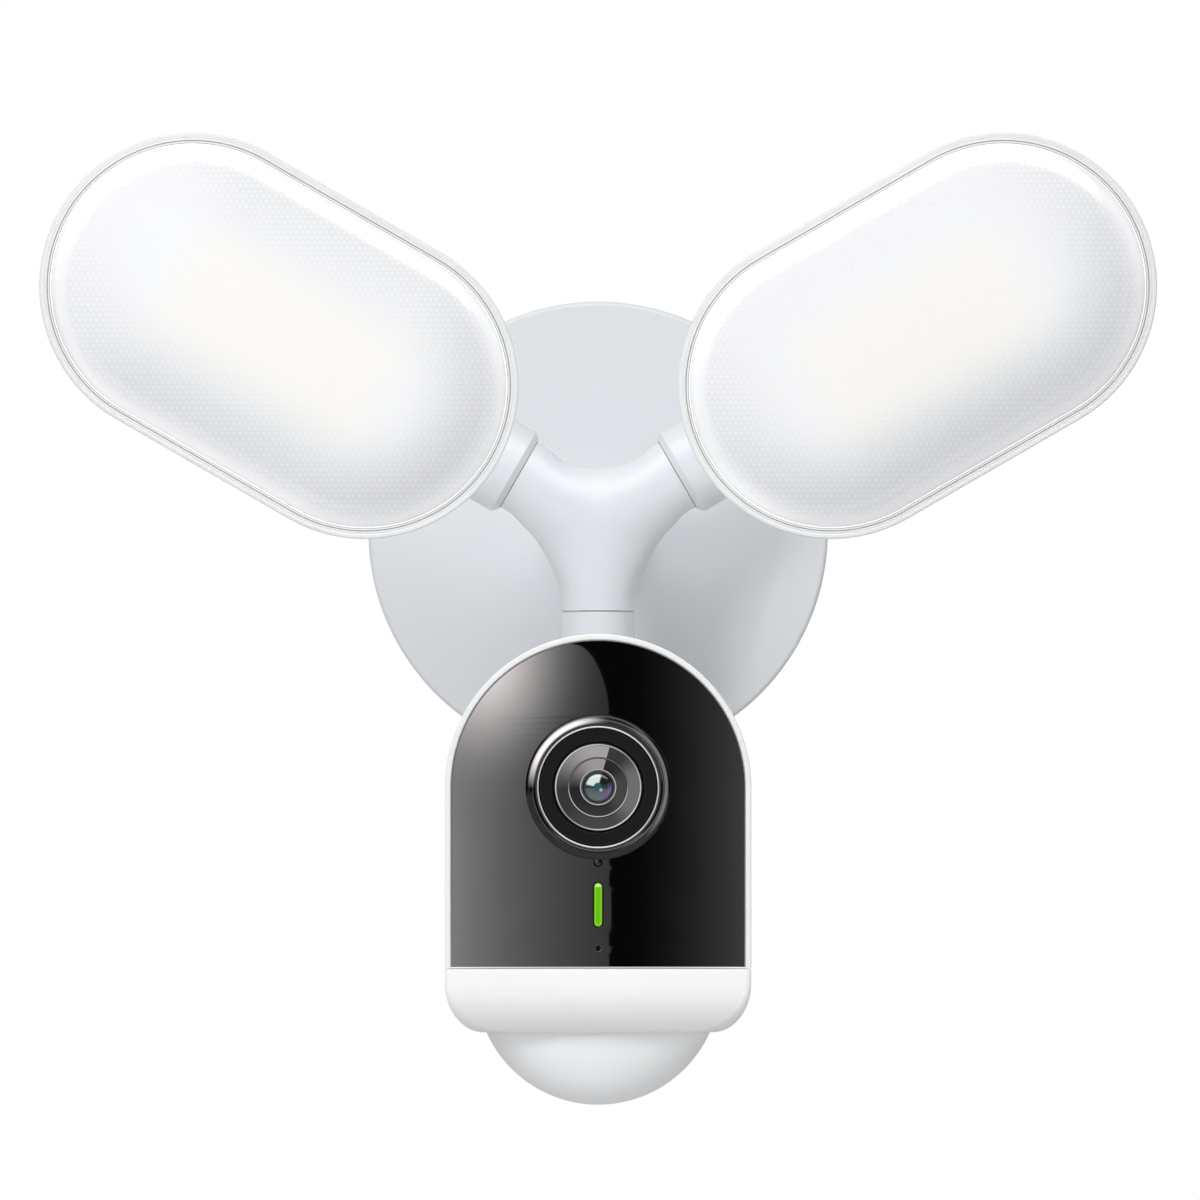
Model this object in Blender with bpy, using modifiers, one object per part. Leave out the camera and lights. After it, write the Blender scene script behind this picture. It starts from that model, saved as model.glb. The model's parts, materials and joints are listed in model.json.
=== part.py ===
"""Floodlight security camera: a wall canopy, a three-way arm, two stadium-shaped LED lamps and a camera head.

Frame of the part: the wall is the plane Y = 0, the front faces -Y and +Z is up. The origin is the centre
of the canopy on the wall. Each lamp rolls about its arm and tilts on a knuckle; the camera head pans on the
arm's lower leg and tilts on a knuckle behind it. Sizes are in millimetres; the meshes are made in metres.
"""

import math

import bmesh
import bpy
from mathutils import Matrix, Vector

MM = 0.001
GAP = 0.3  # between pieces that rest on or fit into each other

# Wall canopy. Heights h are measured from the wall towards the front.
CANOPY_R = 62.0
CANOPY_H = 35.4
CANOPY_WALL = 2.8
CANOPY_CORNER = 1.6
CANOPY_DOMING = 1.6  # the front face rises this far from its edge to the trunk
GASKET_H = 1.5
SIDE_SCREW_H = 10.0

# Three-way arm: three tubes that meet at the hub, 120 degrees apart, with round fillets between them.
HUB = Vector((0.0, -78.0, 2.9))
LAMP_ANGLES = {"right": 30.0, "left": 150.0}
LEG_ANGLE = 270.0
TUBE_R = 10.0
TUBE_FILLET = 29.0
HUB_HEIGHT = 11.0
ARM_WALL = 2.2
ARM_EDGE = 0.8  # straight band along the seam between the arm's two halves
LAMP_ARM_END = 30.0
LEG_END = 24.2
ARM_SCREW_U = 14.3
TRUNK_NECK_R = 10.9
TRUNK_BORE_R = 6.5
TRUNK_END_H = 22.0

# Swivel at each arm's end; u is the distance from the hub along the arm.
SWIVEL_SHAFT_R = 5.2
SWIVEL_BORE_R = 2.8
COLLAR_R = 12.2
COLLAR_START, COLLAR_END = 24.7, 37.5
KNUCKLE_U = 50.0
KNUCKLE_R = 7.0
KNUCKLE_HALF = 5.0
LUG_INNER, LUG_OUTER = 5.4, 9.4
BOLT_R = 2.5

# Lamp: every outline is a stadium of radius r about a straight line of this half length.
LAMP_U = 99.0
LAMP_HALF_LINE = 26.7
LAMP_R = 41.2
LAMP_BACK = -17.0
LAMP_RIM_FRONT = -33.2

# Camera head. The front face is an arch: a half circle on straight sides.
HEAD_R = 41.0
HEAD_WALL = 1.5
HEAD_FRONT = -162.0
HEAD_STRAIGHT = 29.0
HEAD_REAR_DEPTH = 47.0
HEAD_ROUNDNESS = 2.3
HEAD_STATIONS = (0.3, 0.52, 0.7, 0.84, 0.93, 0.985)  # shares of the rear's depth
ARCH_Z = -68.6
SEAM_Z = -117.0
HEAD_BOTTOM = -134.3
TRAY_WALL = 1.8
TRAY_ROUND_TOP = -121.0
TRAY_PULL = 10.5
PANEL_R = 39.2
PANEL_FRONT = -161.6
LENS_HOLE_R = 16.55
LIGHT_Z, SENSOR_Z, MIC_Z = -100.4, -88.8, -111.7
SERVICE_Y = (-155.0, -137.0)
SERVICE_Z = (-101.0, -91.0)
NECK_R = 9.9
NECK_TOP, NECK_BOTTOM = -21.7, -44.0
PIVOT_Z = -56.0
PIVOT_LUG_R = 6.5
PIVOT_LUG_HALF = 4.4
PIVOT_BOLT_R = 2.2
DOME_Y = -124.5
DOME_SPHERE_R = 32.8
DOME_R = 30.0
DOME_BOTTOM = -153.9

FACING_FRONT = (math.pi / 2, 0, 0)  # local Z to -Y
ALONG_X = (0, math.pi / 2, 0)  # local Z to +X
SIDE_ON = (math.pi / 2, 0, math.pi / 2)  # local X to +Y, local Y to +Z, local Z to +X


def clear_scene():
    for obj in list(bpy.data.objects):
        bpy.data.objects.remove(obj)
    for name in ("floodlight_camera", "cutters"):
        collection = bpy.data.collections.new(name)
        bpy.context.scene.collection.children.link(collection)


def material(name, colour, roughness, metallic=0.0):
    found = bpy.data.materials.get(name)
    if found:
        return found
    made = bpy.data.materials.new(name)
    made.use_nodes = True
    shader = made.node_tree.nodes["Principled BSDF"]
    shader.inputs["Base Color"].default_value = (*colour, 1.0)
    shader.inputs["Roughness"].default_value = roughness
    shader.inputs["Metallic"].default_value = metallic
    return made


def white_shell():
    return material("white_shell", (0.86, 0.88, 0.89), 0.4)


def lamp_white():
    return material("lamp_white", (0.93, 0.93, 0.93), 0.35)


def clear_cover():
    return material("clear_cover", (0.95, 0.96, 0.97), 0.15)


def black_gloss():
    return material("black_gloss", (0.01, 0.01, 0.01), 0.05)


def black_matte():
    return material("black_matte", (0.03, 0.03, 0.03), 0.5)


def steel():
    return material("steel", (0.6, 0.6, 0.62), 0.3, 1.0)


def rubber():
    return material("rubber", (0.12, 0.12, 0.12), 0.8)


def nylon():
    return material("nylon", (0.8, 0.8, 0.78), 0.5)


def circuit_board():
    return material("circuit_board", (0.03, 0.2, 0.09), 0.5)


def optical_glass():
    return material("optical_glass", (0.2, 0.22, 0.28), 0.02)


def green_light():
    return material("green_light", (0.2, 0.75, 0.05), 0.3)


# ---------------------------------------------------------------- shape helpers


def place(obj, parent=None, location=(0, 0, 0), rotation=(0, 0, 0), group="floodlight_camera"):
    bpy.data.collections[group].objects.link(obj)
    obj.parent = parent
    obj.location = Vector(location) * MM
    obj.rotation_euler = rotation
    return obj


def frame(name, location, rotation=(0, 0, 0)):
    return place(bpy.data.objects.new(name, None), None, location, rotation)


def finish(obj, look, smooth_angle=35.0):
    obj.data.materials.append(look)
    if obj.type == "MESH":
        obj.data.shade_smooth()
        obj.data.set_sharp_from_angle(angle=math.radians(smooth_angle))
    return obj


def mesh_object(name, bm, look, **where):
    bmesh.ops.recalc_face_normals(bm, faces=bm.faces)
    mesh = bpy.data.meshes.new(name)
    bm.to_mesh(mesh)
    bm.free()
    return finish(place(bpy.data.objects.new(name, mesh), **where), look)


def arc(centre, radius, start, end, count):
    """Points on a circle in a plane, from one angle to another in degrees, both ends included."""
    angles = [math.radians(start + (end - start) * i / count) for i in range(count + 1)]
    return [(centre[0] + radius * math.cos(a), centre[1] + radius * math.sin(a)) for a in angles]


def turned(name, profile, look, steps=32, **where):
    """A solid of revolution about local Z from a closed profile of (radius, height) points."""
    area = sum(a[0] * b[1] - b[0] * a[1] for a, b in zip(profile, profile[1:] + profile[:1]))
    if area > 0:
        profile = profile[::-1]
    on_axis = [i for i, (radius, _) in enumerate(profile) if radius == 0]
    edges = [(i, (i + 1) % len(profile)) for i in range(len(profile))]
    edges = [e for e in edges if not (e[0] in on_axis and e[1] in on_axis)]
    mesh = bpy.data.meshes.new(name)
    mesh.from_pydata([(r * MM, 0, h * MM) for r, h in profile], edges, [])
    obj = place(bpy.data.objects.new(name, mesh), **where)
    screw = obj.modifiers.new("Screw", "SCREW")
    screw.angle = 2 * math.pi
    screw.steps = screw.render_steps = steps
    screw.use_merge_vertices = True
    screw.merge_threshold = 0.00001
    screw.use_smooth_shade = True
    return finish(obj, look)


def tube(name, outer, inner, low, high, look, **more):
    return turned(name, [(outer, high), (outer, low), (inner, low), (inner, high)], look, **more)


def rod(name, radius, low, high, look, **more):
    return turned(name, [(0, high), (radius, high), (radius, low), (0, low)], look, **more)


def block(name, low, high, look, **where):
    """A box between two corners."""
    low, high = Vector(low) * MM, Vector(high) * MM
    bm = bmesh.new()
    bmesh.ops.create_cube(bm, size=1.0)
    bmesh.ops.transform(bm, matrix=Matrix.Diagonal((*(high - low), 1)), verts=bm.verts)
    bmesh.ops.translate(bm, vec=(low + high) / 2, verts=bm.verts)
    return mesh_object(name, bm, look, **where)


def prism(name, outline, low, high, look, **where):
    """A flat outline of (x, y) points, extruded along local Z from low to high."""
    bm = bmesh.new()
    face = bm.faces.new([bm.verts.new((x * MM, y * MM, low * MM)) for x, y in outline])
    grown = bmesh.ops.extrude_face_region(bm, geom=[face])
    top = [v for v in grown["geom"] if isinstance(v, bmesh.types.BMVert)]
    bmesh.ops.translate(bm, vec=(0, 0, (high - low) * MM), verts=top)
    return mesh_object(name, bm, look, **where)


def plate(name, outlines, low, high, look, **where):
    """A flat plate from a 2D curve: the first outline is its edge and the others are its holes."""
    curve = bpy.data.curves.new(name, "CURVE")
    curve.dimensions = "2D"
    curve.fill_mode = "BOTH"
    curve.extrude = (high - low) / 2 * MM
    for outline in outlines:
        spline = curve.splines.new("POLY")
        spline.points.add(len(outline) - 1)
        spline.use_cyclic_u = True
        for point, (x, y) in zip(spline.points, outline):
            point.co = (x * MM, y * MM, 0, 1)
    obj = place(bpy.data.objects.new(name, curve), **where)
    turn = Matrix.Rotation(obj.rotation_euler.x, 3, "X")
    obj.location += turn @ Vector((0, 0, (low + high) / 2 * MM))
    return finish(obj, look)


def as_mesh(curve_obj):
    """Replaces a curve object with a mesh whose caps are welded, so that Boolean modifiers can be added."""
    bpy.context.view_layer.update()
    graph = bpy.context.evaluated_depsgraph_get()
    mesh = bpy.data.meshes.new_from_object(curve_obj.evaluated_get(graph))
    bm = bmesh.new()
    bm.from_mesh(mesh)
    bmesh.ops.remove_doubles(bm, verts=bm.verts, dist=0.00001)
    bmesh.ops.recalc_face_normals(bm, faces=bm.faces)
    bm.to_mesh(mesh)
    bm.free()
    name, world = curve_obj.name, curve_obj.matrix_world.copy()
    bpy.data.objects.remove(curve_obj)
    obj = bpy.data.objects.new(name, mesh)
    bpy.data.collections["floodlight_camera"].objects.link(obj)
    obj.matrix_world = world
    return obj


def helper(obj):
    """Hides a solid that only cuts or joins others."""
    obj.hide_render = True
    obj.display_type = "WIRE"
    return obj


def cut(target, *cutters):
    for other in cutters:
        combine(target, helper(other), "DIFFERENCE")


def join(target, *others):
    for other in others:
        combine(target, helper(other), "UNION")


def combine(target, other, operation):
    boolean = target.modifiers.new(operation.title() + other.name, "BOOLEAN")
    boolean.operation = operation
    boolean.object = other
    boolean.solver = "EXACT"


def shell(name, bm, thickness, towards, look):
    """Turns an open surface into a shell that thickens inwards. Its outside faces the direction towards."""
    bmesh.ops.recalc_face_normals(bm, faces=bm.faces)
    outermost = max(bm.faces, key=lambda face: towards.dot(face.calc_center_median()))
    if outermost.normal.dot(towards) < 0:
        bmesh.ops.reverse_faces(bm, faces=bm.faces)
    mesh = bpy.data.meshes.new(name)
    bm.to_mesh(mesh)
    bm.free()
    obj = finish(place(bpy.data.objects.new(name, mesh)), look)
    solid = obj.modifiers.new("Solidify", "SOLIDIFY")
    solid.thickness = thickness * MM
    solid.offset = -1
    solid.use_even_offset = True
    return obj


def hex_nut(name, across, bore, low, high, look, **where):
    nut = prism(name, arc((0, 0), across / math.sqrt(3), 0, 300, 5), low, high, look, **where)
    cut(nut, rod(f"cut_{name}", bore, low - 1, high + 1, look, group="cutters", **without_group(where)))
    return nut


def without_group(where):
    return {key: value for key, value in where.items() if key != "group"}


def screw_profile(head_r, head_h, shaft_r, length):
    """A flat-headed screw with its head from height 0 up and its shaft below."""
    return [(0, head_h), (head_r, head_h), (head_r, 0), (shaft_r, 0), (shaft_r, -length), (0, -length)]


# ---------------------------------------------------------------- wall canopy


def wall_bracket():
    """A steel strap with a turned-up tab at each end, two wire openings and two mounting slots."""
    half, tab, thick, width = 54.4, 18.0, 1.6, 13.0
    outline = [
        (-half, 0), (half, 0), (half, tab), (half - thick, tab),
        (half - thick, thick), (thick - half, thick), (thick - half, tab), (-half, tab),
    ]
    strap = prism("wall_bracket", [(x, -h) for x, h in outline], -width, width, steel())
    slot_x, wire_x = 41.5, 18.0
    for sign, side in ((-1, "left"), (1, "right")):
        through = dict(group="cutters", rotation=FACING_FRONT)
        slot = stadium_outline(3.2, 4.0, 6)
        cut(strap, prism(f"cut_slot_{side}", slot, -2, 8, steel(), location=(sign * slot_x, 0, 0), **through))
        at_wires = dict(location=(sign * wire_x, 0, 0), **through)
        cut(strap, rod(f"cut_wires_{side}", 7.0, -2, 8, steel(), steps=16, **at_wires))
        sideways = dict(location=(0, -SIDE_SCREW_H, 0), rotation=(0, sign * math.pi / 2, 0))
        cut(strap, rod(f"cut_tab_{side}", 1.6, 50, 60, steel(), steps=12, group="cutters", **sideways))
    return strap


def base_canopy():
    """A shallow round cover, open to the wall, with a hole for the trunk and a screw pocket on each side."""
    r, wall, top, corner = CANOPY_R, CANOPY_WALL, CANOPY_H, CANOPY_CORNER
    shoulder = top - CANOPY_DOMING
    outer = arc((r - corner, shoulder - corner), corner, 0, 88, 4)
    hole, middle_r, sag = TRUNK_NECK_R + GAP, 32, 0.4
    profile = [(r, GASKET_H + GAP), *outer, (middle_r, top - sag), (hole, top), (hole, top - wall)]
    profile += [(middle_r, top - wall - sag), (r - wall, shoulder - wall), (r - wall, GASKET_H + GAP)]
    canopy = turned("base_canopy", profile, white_shell(), steps=40, rotation=FACING_FRONT)
    for sign, side in ((-1, "left"), (1, "right")):
        where = dict(location=(0, -SIDE_SCREW_H, 0), rotation=(0, sign * math.pi / 2, 0))
        pocket = rod(f"cut_pocket_{side}", 4.2, 60.4, 66, steel(), steps=16, group="cutters", **where)
        clearance = rod(f"cut_clear_{side}", 2.2, 54, 62, steel(), steps=12, group="cutters", **where)
        cut(canopy, pocket, clearance)
        screw = [(r, h + 60.7) for r, h in screw_profile(3.8, 1.0, 1.3, 9.5)]
        turned(f"canopy_screw_{side}", screw, steel(), steps=14, **where)
    return canopy


def base_internals():
    """What the canopy holds: seal, clamp nut, LED driver, terminal block and the cable into the arm."""
    tube("base_gasket", 61.4, 56.4, 0, GASKET_H, rubber(), steps=40, rotation=FACING_FRONT)
    hex_nut("trunk_nut", 29.0, TRUNK_NECK_R + GAP, 27.0, 32.2, steel(), rotation=FACING_FRONT)
    block("led_driver", (-25, -26, -50), (25, -6, -27), black_matte())
    terminals = block("terminal_block", (-18, -20, 30), (18, -6, 43), nylon())
    for x in (-11, 0, 11):
        where = dict(group="cutters", location=(x, -13, 0))
        cut(terminals, rod(f"cut_terminal_{x}", 2.6, 36, 50, nylon(), steps=10, **where))
    supply_cable()


def supply_cable():
    """Leaves the terminal block towards the axis, turns forward and runs through the trunk to the hub."""
    curve = bpy.data.curves.new("supply_cable", "CURVE")
    curve.dimensions = "3D"
    curve.bevel_depth = 2.4 * MM
    curve.bevel_resolution = 2
    curve.use_fill_caps = True
    bends = [math.radians(15 * i) for i in range(7)]
    path = [(27 - 27 * math.sin(a), 12 + 14 * (1 - math.cos(a))) for a in bends] + [(0, 45), (0, 64)]
    spline = curve.splines.new("POLY")
    spline.points.add(len(path) - 1)
    for point, (z, h) in zip(spline.points, path):
        point.co = (0, -h * MM, z * MM, 1)
    finish(place(bpy.data.objects.new("supply_cable", curve)), rubber())


# ---------------------------------------------------------------- three-way arm


def arm_section(t, tangent_u):
    """(axis point, outline point, crest height) of the hub's section, from a tube at 0 to the waist at 1."""
    turn = math.radians(30) * t
    outline = (tangent_u - TUBE_FILLET * math.sin(turn), TUBE_R + TUBE_FILLET * (1 - math.cos(turn)))
    axis_u = tangent_u * (1 - t) ** 2 * (1 + 1.3 * t)
    crest = TUBE_R + (HUB_HEIGHT - TUBE_R) * t * t * (3 - 2 * t)
    return axis_u, outline, crest


def arm_line(section, towards):
    """Points (along, across, y) of one section, from its crest round to the seam."""
    axis_u, outline, crest = section
    columns = 4
    swings = [math.pi / 2 * j / columns for j in range(columns + 1)]
    heights = [ARM_EDGE + (crest - ARM_EDGE) * math.cos(a) for a in swings] + [GAP / 2]
    points = []
    for swing, height in zip(swings + [math.pi / 2], heights):
        u = axis_u + (outline[0] - axis_u) * math.sin(swing)
        points.append((u, outline[1] * math.sin(swing), towards * height))
    return points


def arm_half(name, towards, look):
    """One half of the arm. towards is -1 for the front half and 1 for the rear."""
    rows = 4
    tangent_u = (TUBE_R + TUBE_FILLET) / math.tan(math.radians(60))
    bm = bmesh.new()
    for angle in (*LAMP_ANGLES.values(), LEG_ANGLE):
        end = LEG_END if angle == LEG_ANGLE else LAMP_ARM_END
        sections = [(end, (end, TUBE_R), TUBE_R)]
        sections += [arm_section(i / rows, tangent_u) for i in range(rows + 1)]
        along = Vector((math.cos(math.radians(angle)), 0, math.sin(math.radians(angle))))
        for side in (-1, 1):
            across = Vector((-along.z, 0, along.x)) * side
            grid = []
            for section in sections:
                line = arm_line(section, towards)
                spots = [HUB + along * u + across * w + Vector((0, y, 0)) for u, w, y in line]
                grid.append([bm.verts.new(spot * MM) for spot in spots])
            for low, high in zip(grid, grid[1:]):
                for j in range(len(low) - 1):
                    corners = [low[j], low[j + 1], high[j + 1], high[j]]
                    if len({tuple(round(c, 6) for c in v.co) for v in corners}) == 4:
                        bm.faces.new(corners[::-1] if side * towards > 0 else corners)
    bmesh.ops.remove_doubles(bm, verts=bm.verts, dist=0.00001)
    return shell(name, bm, ARM_WALL, Vector((0, towards, 0)), look)


def arm_shells():
    """The arm's two halves, the trunk on the rear one, and the two screws between them."""
    front = arm_half("arm_front_shell", -1, white_shell())
    rear = arm_half("arm_rear_shell", 1, white_shell())
    hub_h, foot_h = -HUB.y, CANOPY_H + GAP
    on_axis = dict(group="cutters", location=(HUB.x, 0, 0), rotation=FACING_FRONT)
    flare_r, flare_h, foot_r = 6.0, CANOPY_H + 8.9, 15.2
    flare = arc((TUBE_R + flare_r, flare_h), flare_r, 180, 250, 4)
    profile = [(0, hub_h - 6), (TUBE_R, hub_h - 6), *flare, (foot_r, foot_h), (TRUNK_NECK_R, foot_h)]
    profile += [(TRUNK_NECK_R, TRUNK_END_H), (0, TRUNK_END_H)]
    join(rear, turned("join_trunk", profile, white_shell(), steps=24, **on_axis))
    bore_start, bore_end = TRUNK_END_H - 2, hub_h - 4
    cut(rear, rod("cut_trunk_bore", TRUNK_BORE_R, bore_start, bore_end, white_shell(), steps=20, **on_axis))
    for label, angle in LAMP_ANGLES.items():
        arm_screw(label, math.radians(angle), front, rear)


def arm_screw(label, way, front, rear):
    """A screw from the rear half into a boss of the front half, at a way round the hub."""
    hub_h, crest = -HUB.y, -HUB.y - TUBE_R
    spot = (HUB.x + ARM_SCREW_U * math.cos(way), 0, HUB.z + ARM_SCREW_U * math.sin(way))
    hidden = dict(group="cutters", location=spot, rotation=FACING_FRONT)
    look = white_shell()
    join(front, rod(f"join_boss_{label}", 3.0, hub_h + GAP, hub_h + 9, look, steps=12, **hidden))
    cut(front, rod(f"cut_boss_{label}", 1.7, hub_h - 1, hub_h + 6.6, look, steps=10, **hidden))
    cut(rear, rod(f"cut_head_{label}", 3.1, crest - 6, crest + 1.0, look, steps=14, **hidden))
    cut(rear, rod(f"cut_shaft_{label}", 1.8, crest - 2, crest + 6, look, steps=10, **hidden))
    screw = [(r, crest + 0.7 - h) for r, h in screw_profile(2.8, 1.0, 1.4, 15.0)]
    turned(f"arm_screw_{label}", screw, steel(), steps=12, location=spot, rotation=FACING_FRONT)


# ---------------------------------------------------------------- lamps


def stadium_outline(radius, half_line, count):
    right = arc((half_line, 0), radius, -90, 90, count)
    left = arc((-half_line, 0), radius, 90, 270, count)
    return right + left


def stadium_solid(name, rings, look, ring_shaped=False, count=9, **where):
    """Lofts stadium outlines of (radius, depth). The ends are capped, or joined to each other for a ring."""
    bm = bmesh.new()
    loops = []
    for radius, depth in rings:
        points = stadium_outline(radius, LAMP_HALF_LINE, count)
        loops.append([bm.verts.new((x * MM, depth * MM, z * MM)) for x, z in points])
    pairs = list(zip(loops, loops[1:])) + ([(loops[-1], loops[0])] if ring_shaped else [])
    for a, b in pairs:
        for i in range(len(a)):
            j = (i + 1) % len(a)
            bm.faces.new((a[i], a[j], b[j], b[i]))
    if not ring_shaped:
        bm.faces.new(loops[0])
        bm.faces.new(loops[-1])
    return mesh_object(name, bm, look, **where)


def lug_outline(radius, centre, base):
    """A rounded ear about centre, standing on a base at the given y."""
    over = arc(centre, radius, 180, 0, 8)
    return [(centre[0] - radius, base)] + over + [(centre[0] + radius, base)]


def swivel(side, arm):
    """The bearing at an arm's end and the hollow stub that rolls in it, with its nut, collar and eye."""
    along = dict(parent=arm, rotation=ALONG_X)
    bush = [(7.3, 23.3), (7.3, 30.3), (9.7, 30.3), (9.7, 31.3), (5.55, 31.3), (5.55, 23.3)]
    turned(f"{side}_swivel_bush", bush, nylon(), steps=20, **along)
    profile = [
        (SWIVEL_BORE_R, 18), (SWIVEL_SHAFT_R, 18), (SWIVEL_SHAFT_R, 31.6), (9.9, 31.6), (9.9, 34),
        (7.6, 34.6), (7.6, 40), (0, 40), (0, 38), (SWIVEL_BORE_R, 38),
    ]
    stub = turned(f"{side}_swivel_stub", profile, white_shell(), steps=20, **along)
    eye = arc((KNUCKLE_U, 0), KNUCKLE_R, -120, 120, 10) + [(38.6, 6.0), (38.6, -6.0)]
    hidden = dict(parent=arm, group="cutters")
    join(stub, prism(f"join_eye_{side}", eye, -KNUCKLE_HALF, KNUCKLE_HALF, white_shell(), **hidden))
    at_knuckle = dict(location=(KNUCKLE_U, 0, 0), **hidden)
    cut(stub, rod(f"cut_eye_{side}", BOLT_R + GAP, -9, 9, white_shell(), steps=16, **at_knuckle))
    hex_nut(f"{side}_swivel_nut", 11.6, SWIVEL_SHAFT_R + GAP, 19.4, 23.0, steel(), **along)
    collar = [
        (COLLAR_R - 1.3, COLLAR_START), (COLLAR_R, COLLAR_START + 1.5), (COLLAR_R, COLLAR_END - 0.8),
        (COLLAR_R - 0.8, COLLAR_END), (8.2, COLLAR_END), (8.2, COLLAR_END - 2), (10.4, COLLAR_END - 2),
        (10.4, COLLAR_START),
    ]
    turned(f"{side}_lamp_collar", collar, white_shell(), steps=24, **along)


def lamp_housing(side, arm):
    """The lamp's body with its seat for the board, its two knuckle lugs and its cooling ribs."""
    back, front = LAMP_BACK, LAMP_RIM_FRONT
    rings = [
        (24, back), (30.5, back - 0.7), (36, back - 3.2), (39.4, back - 7.5), (LAMP_R, back - 13),
        (LAMP_R, front), (39.95, front), (39.95, -30.0), (38.0, -30.0), (36.6, -25.2), (31.5, -20.4),
        (24, -19.2),
    ]
    look, hidden = lamp_white(), dict(parent=arm, group="cutters")
    housing = stadium_solid(f"{side}_lamp_housing", rings, look, parent=arm, location=(LAMP_U, 0, 0))
    lug = lug_outline(KNUCKLE_R, (KNUCKLE_U, 0), back - 1.2)
    for low, high, label in ((-LUG_OUTER, -LUG_INNER, "a"), (LUG_INNER, LUG_OUTER, "b")):
        join(housing, prism(f"join_lug_{label}_{side}", lug, low, high, look, **hidden))
    bore = rod(f"cut_lug_{side}", BOLT_R + GAP, -14, 14, look, steps=16, location=(KNUCKLE_U, 0, 0), **hidden)
    cut(housing, bore)
    rib_pitch, rib_half, rib_start, rib_end, rib_height = 7.5, 0.9, 66, 140, 3.4
    for index in range(-2, 3):
        z, end = index * rib_pitch, rib_end - abs(index) * 3
        low, high = (rib_start, back - 1, z - rib_half), (end, back + rib_height, z + rib_half)
        join(housing, block(f"join_rib_{index + 3}_{side}", low, high, look, **hidden))


def led_board(side, arm):
    """The lamp's circuit board with its ten LED packages in two rows of five."""
    board = stadium_solid(f"{side}_led_board", [(27.5, -20.2), (27.5, -21.8)], nylon(), parent=arm,
                          location=(LAMP_U, 0, 0))
    pitch, row, half = 16, 10, 2.5
    for index in range(10):
        x, z = LAMP_U + pitch * (index % 5 - 2), row * (2 * (index // 5) - 1)
        low, high = (x - half, -22.6, z - half), (x + half, -21, z + half)
        join(board, block(f"join_chip_{index}_{side}", low, high, nylon(), parent=arm, group="cutters"))


def lamp(side, arm):
    """A lamp, built in its arm's frame: x runs along the arm, -y is the lamp's front, z is across it."""
    centre = dict(parent=arm, location=(LAMP_U, 0, 0))
    lamp_housing(side, arm)
    led_board(side, arm)
    reflector = [(29.8, -22.0), (36.3, -30.9), (35.2, -31.1), (28.4, -22.4)]
    stadium_solid(f"{side}_reflector", reflector, lamp_white(), ring_shaped=True, **centre)
    seal = [(39.6, -30.3), (39.6, -31.1), (38.3, -31.1), (38.3, -30.3)]
    stadium_solid(f"{side}_lens_gasket", seal, rubber(), ring_shaped=True, **centre)
    lens_rings = [
        (25, -38.5), (33.4, -37.2), (36.2, -34.4), (36.4, -31.4), (39.6, -31.4), (39.6, -32.5), (38.0, -32.5),
        (38.0, -34.6), (37.5, -36.6), (36.2, -38.2), (33.6, -39.3), (24, -40.4),
    ]
    stadium_solid(f"{side}_lamp_lens", lens_rings, clear_cover(), **centre)
    bezel = [(39.7, -32.8), (39.7, -34.2), (38.4, -34.4), (38.3, -32.8)]
    stadium_solid(f"{side}_lamp_bezel", bezel, lamp_white(), ring_shaped=True, **centre)
    bolt = [(r, h + 9.8) for r, h in screw_profile(4.4, 2.4, BOLT_R, 21.0)]
    turned(f"{side}_tilt_bolt", bolt, steel(), steps=16, parent=arm, location=(KNUCKLE_U, 0, 0))


def lamp_assemblies():
    for side, angle in LAMP_ANGLES.items():
        arm = frame(f"{side}_arm_frame", HUB, (0, -math.radians(angle), 0))
        swivel(side, arm)
        lamp(side, arm)


# ---------------------------------------------------------------- camera neck and head


def neck():
    """The pan bearing in the arm's leg and the yoke that turns in it, with its nut and tilt bolt."""
    at_leg = dict(location=(HUB.x, HUB.y, 0))
    tube("pan_bush", 7.3, 5.55, -21.1, -14.4, nylon(), steps=20, **at_leg)
    shaft = SWIVEL_SHAFT_R
    profile = [
        (SWIVEL_BORE_R, -9.2), (shaft, -9.2), (shaft, NECK_TOP), (NECK_R, NECK_TOP),
        (NECK_R, NECK_BOTTOM + 1), (NECK_R - 1, NECK_BOTTOM), (0, NECK_BOTTOM), (0, NECK_BOTTOM + 4), (SWIVEL_BORE_R, NECK_BOTTOM + 4),
    ]
    yoke = turned("neck_yoke", profile, white_shell(), steps=24, **at_leg)
    radius, ear_top = PIVOT_LUG_R, NECK_BOTTOM + 2 - PIVOT_Z
    ear = [(radius, ear_top)] + arc((0, 0), radius, 0, -180, 8) + [(-radius, ear_top)]
    pivot = (HUB.x, HUB.y, PIVOT_Z)
    hidden = dict(group="cutters", location=pivot)
    for low, high, label in ((4.8, 8.2, "right"), (-8.2, -4.8, "left")):
        join(yoke, prism(f"join_ear_{label}", ear, low, high, white_shell(), rotation=SIDE_ON, **hidden))
    bore = rod("cut_ears", PIVOT_BOLT_R + GAP, -12, 12, white_shell(), steps=14, rotation=ALONG_X, **hidden)
    cut(yoke, bore)
    hex_nut("pan_nut", 11.6, shaft + GAP, -14.1, -10.5, steel(), **at_leg)
    bolt = [(r, h + 8.5) for r, h in screw_profile(3.8, 2.0, PIVOT_BOLT_R, 18.5)]
    turned("camera_tilt_bolt", bolt, steel(), steps=14, location=pivot, rotation=ALONG_X)


def rear_radius(share, radius):
    """Half width of the head at a share of its rear's depth: a superellipse that closes at 1."""
    return radius * (1 - share**HEAD_ROUNDNESS) ** (1 / HEAD_ROUNDNESS)


def arch_points(radius, bottom, count=14):
    return [(radius, bottom)] + arc((0, ARCH_Z), radius, 0, 180, count) + [(-radius, bottom)]


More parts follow.
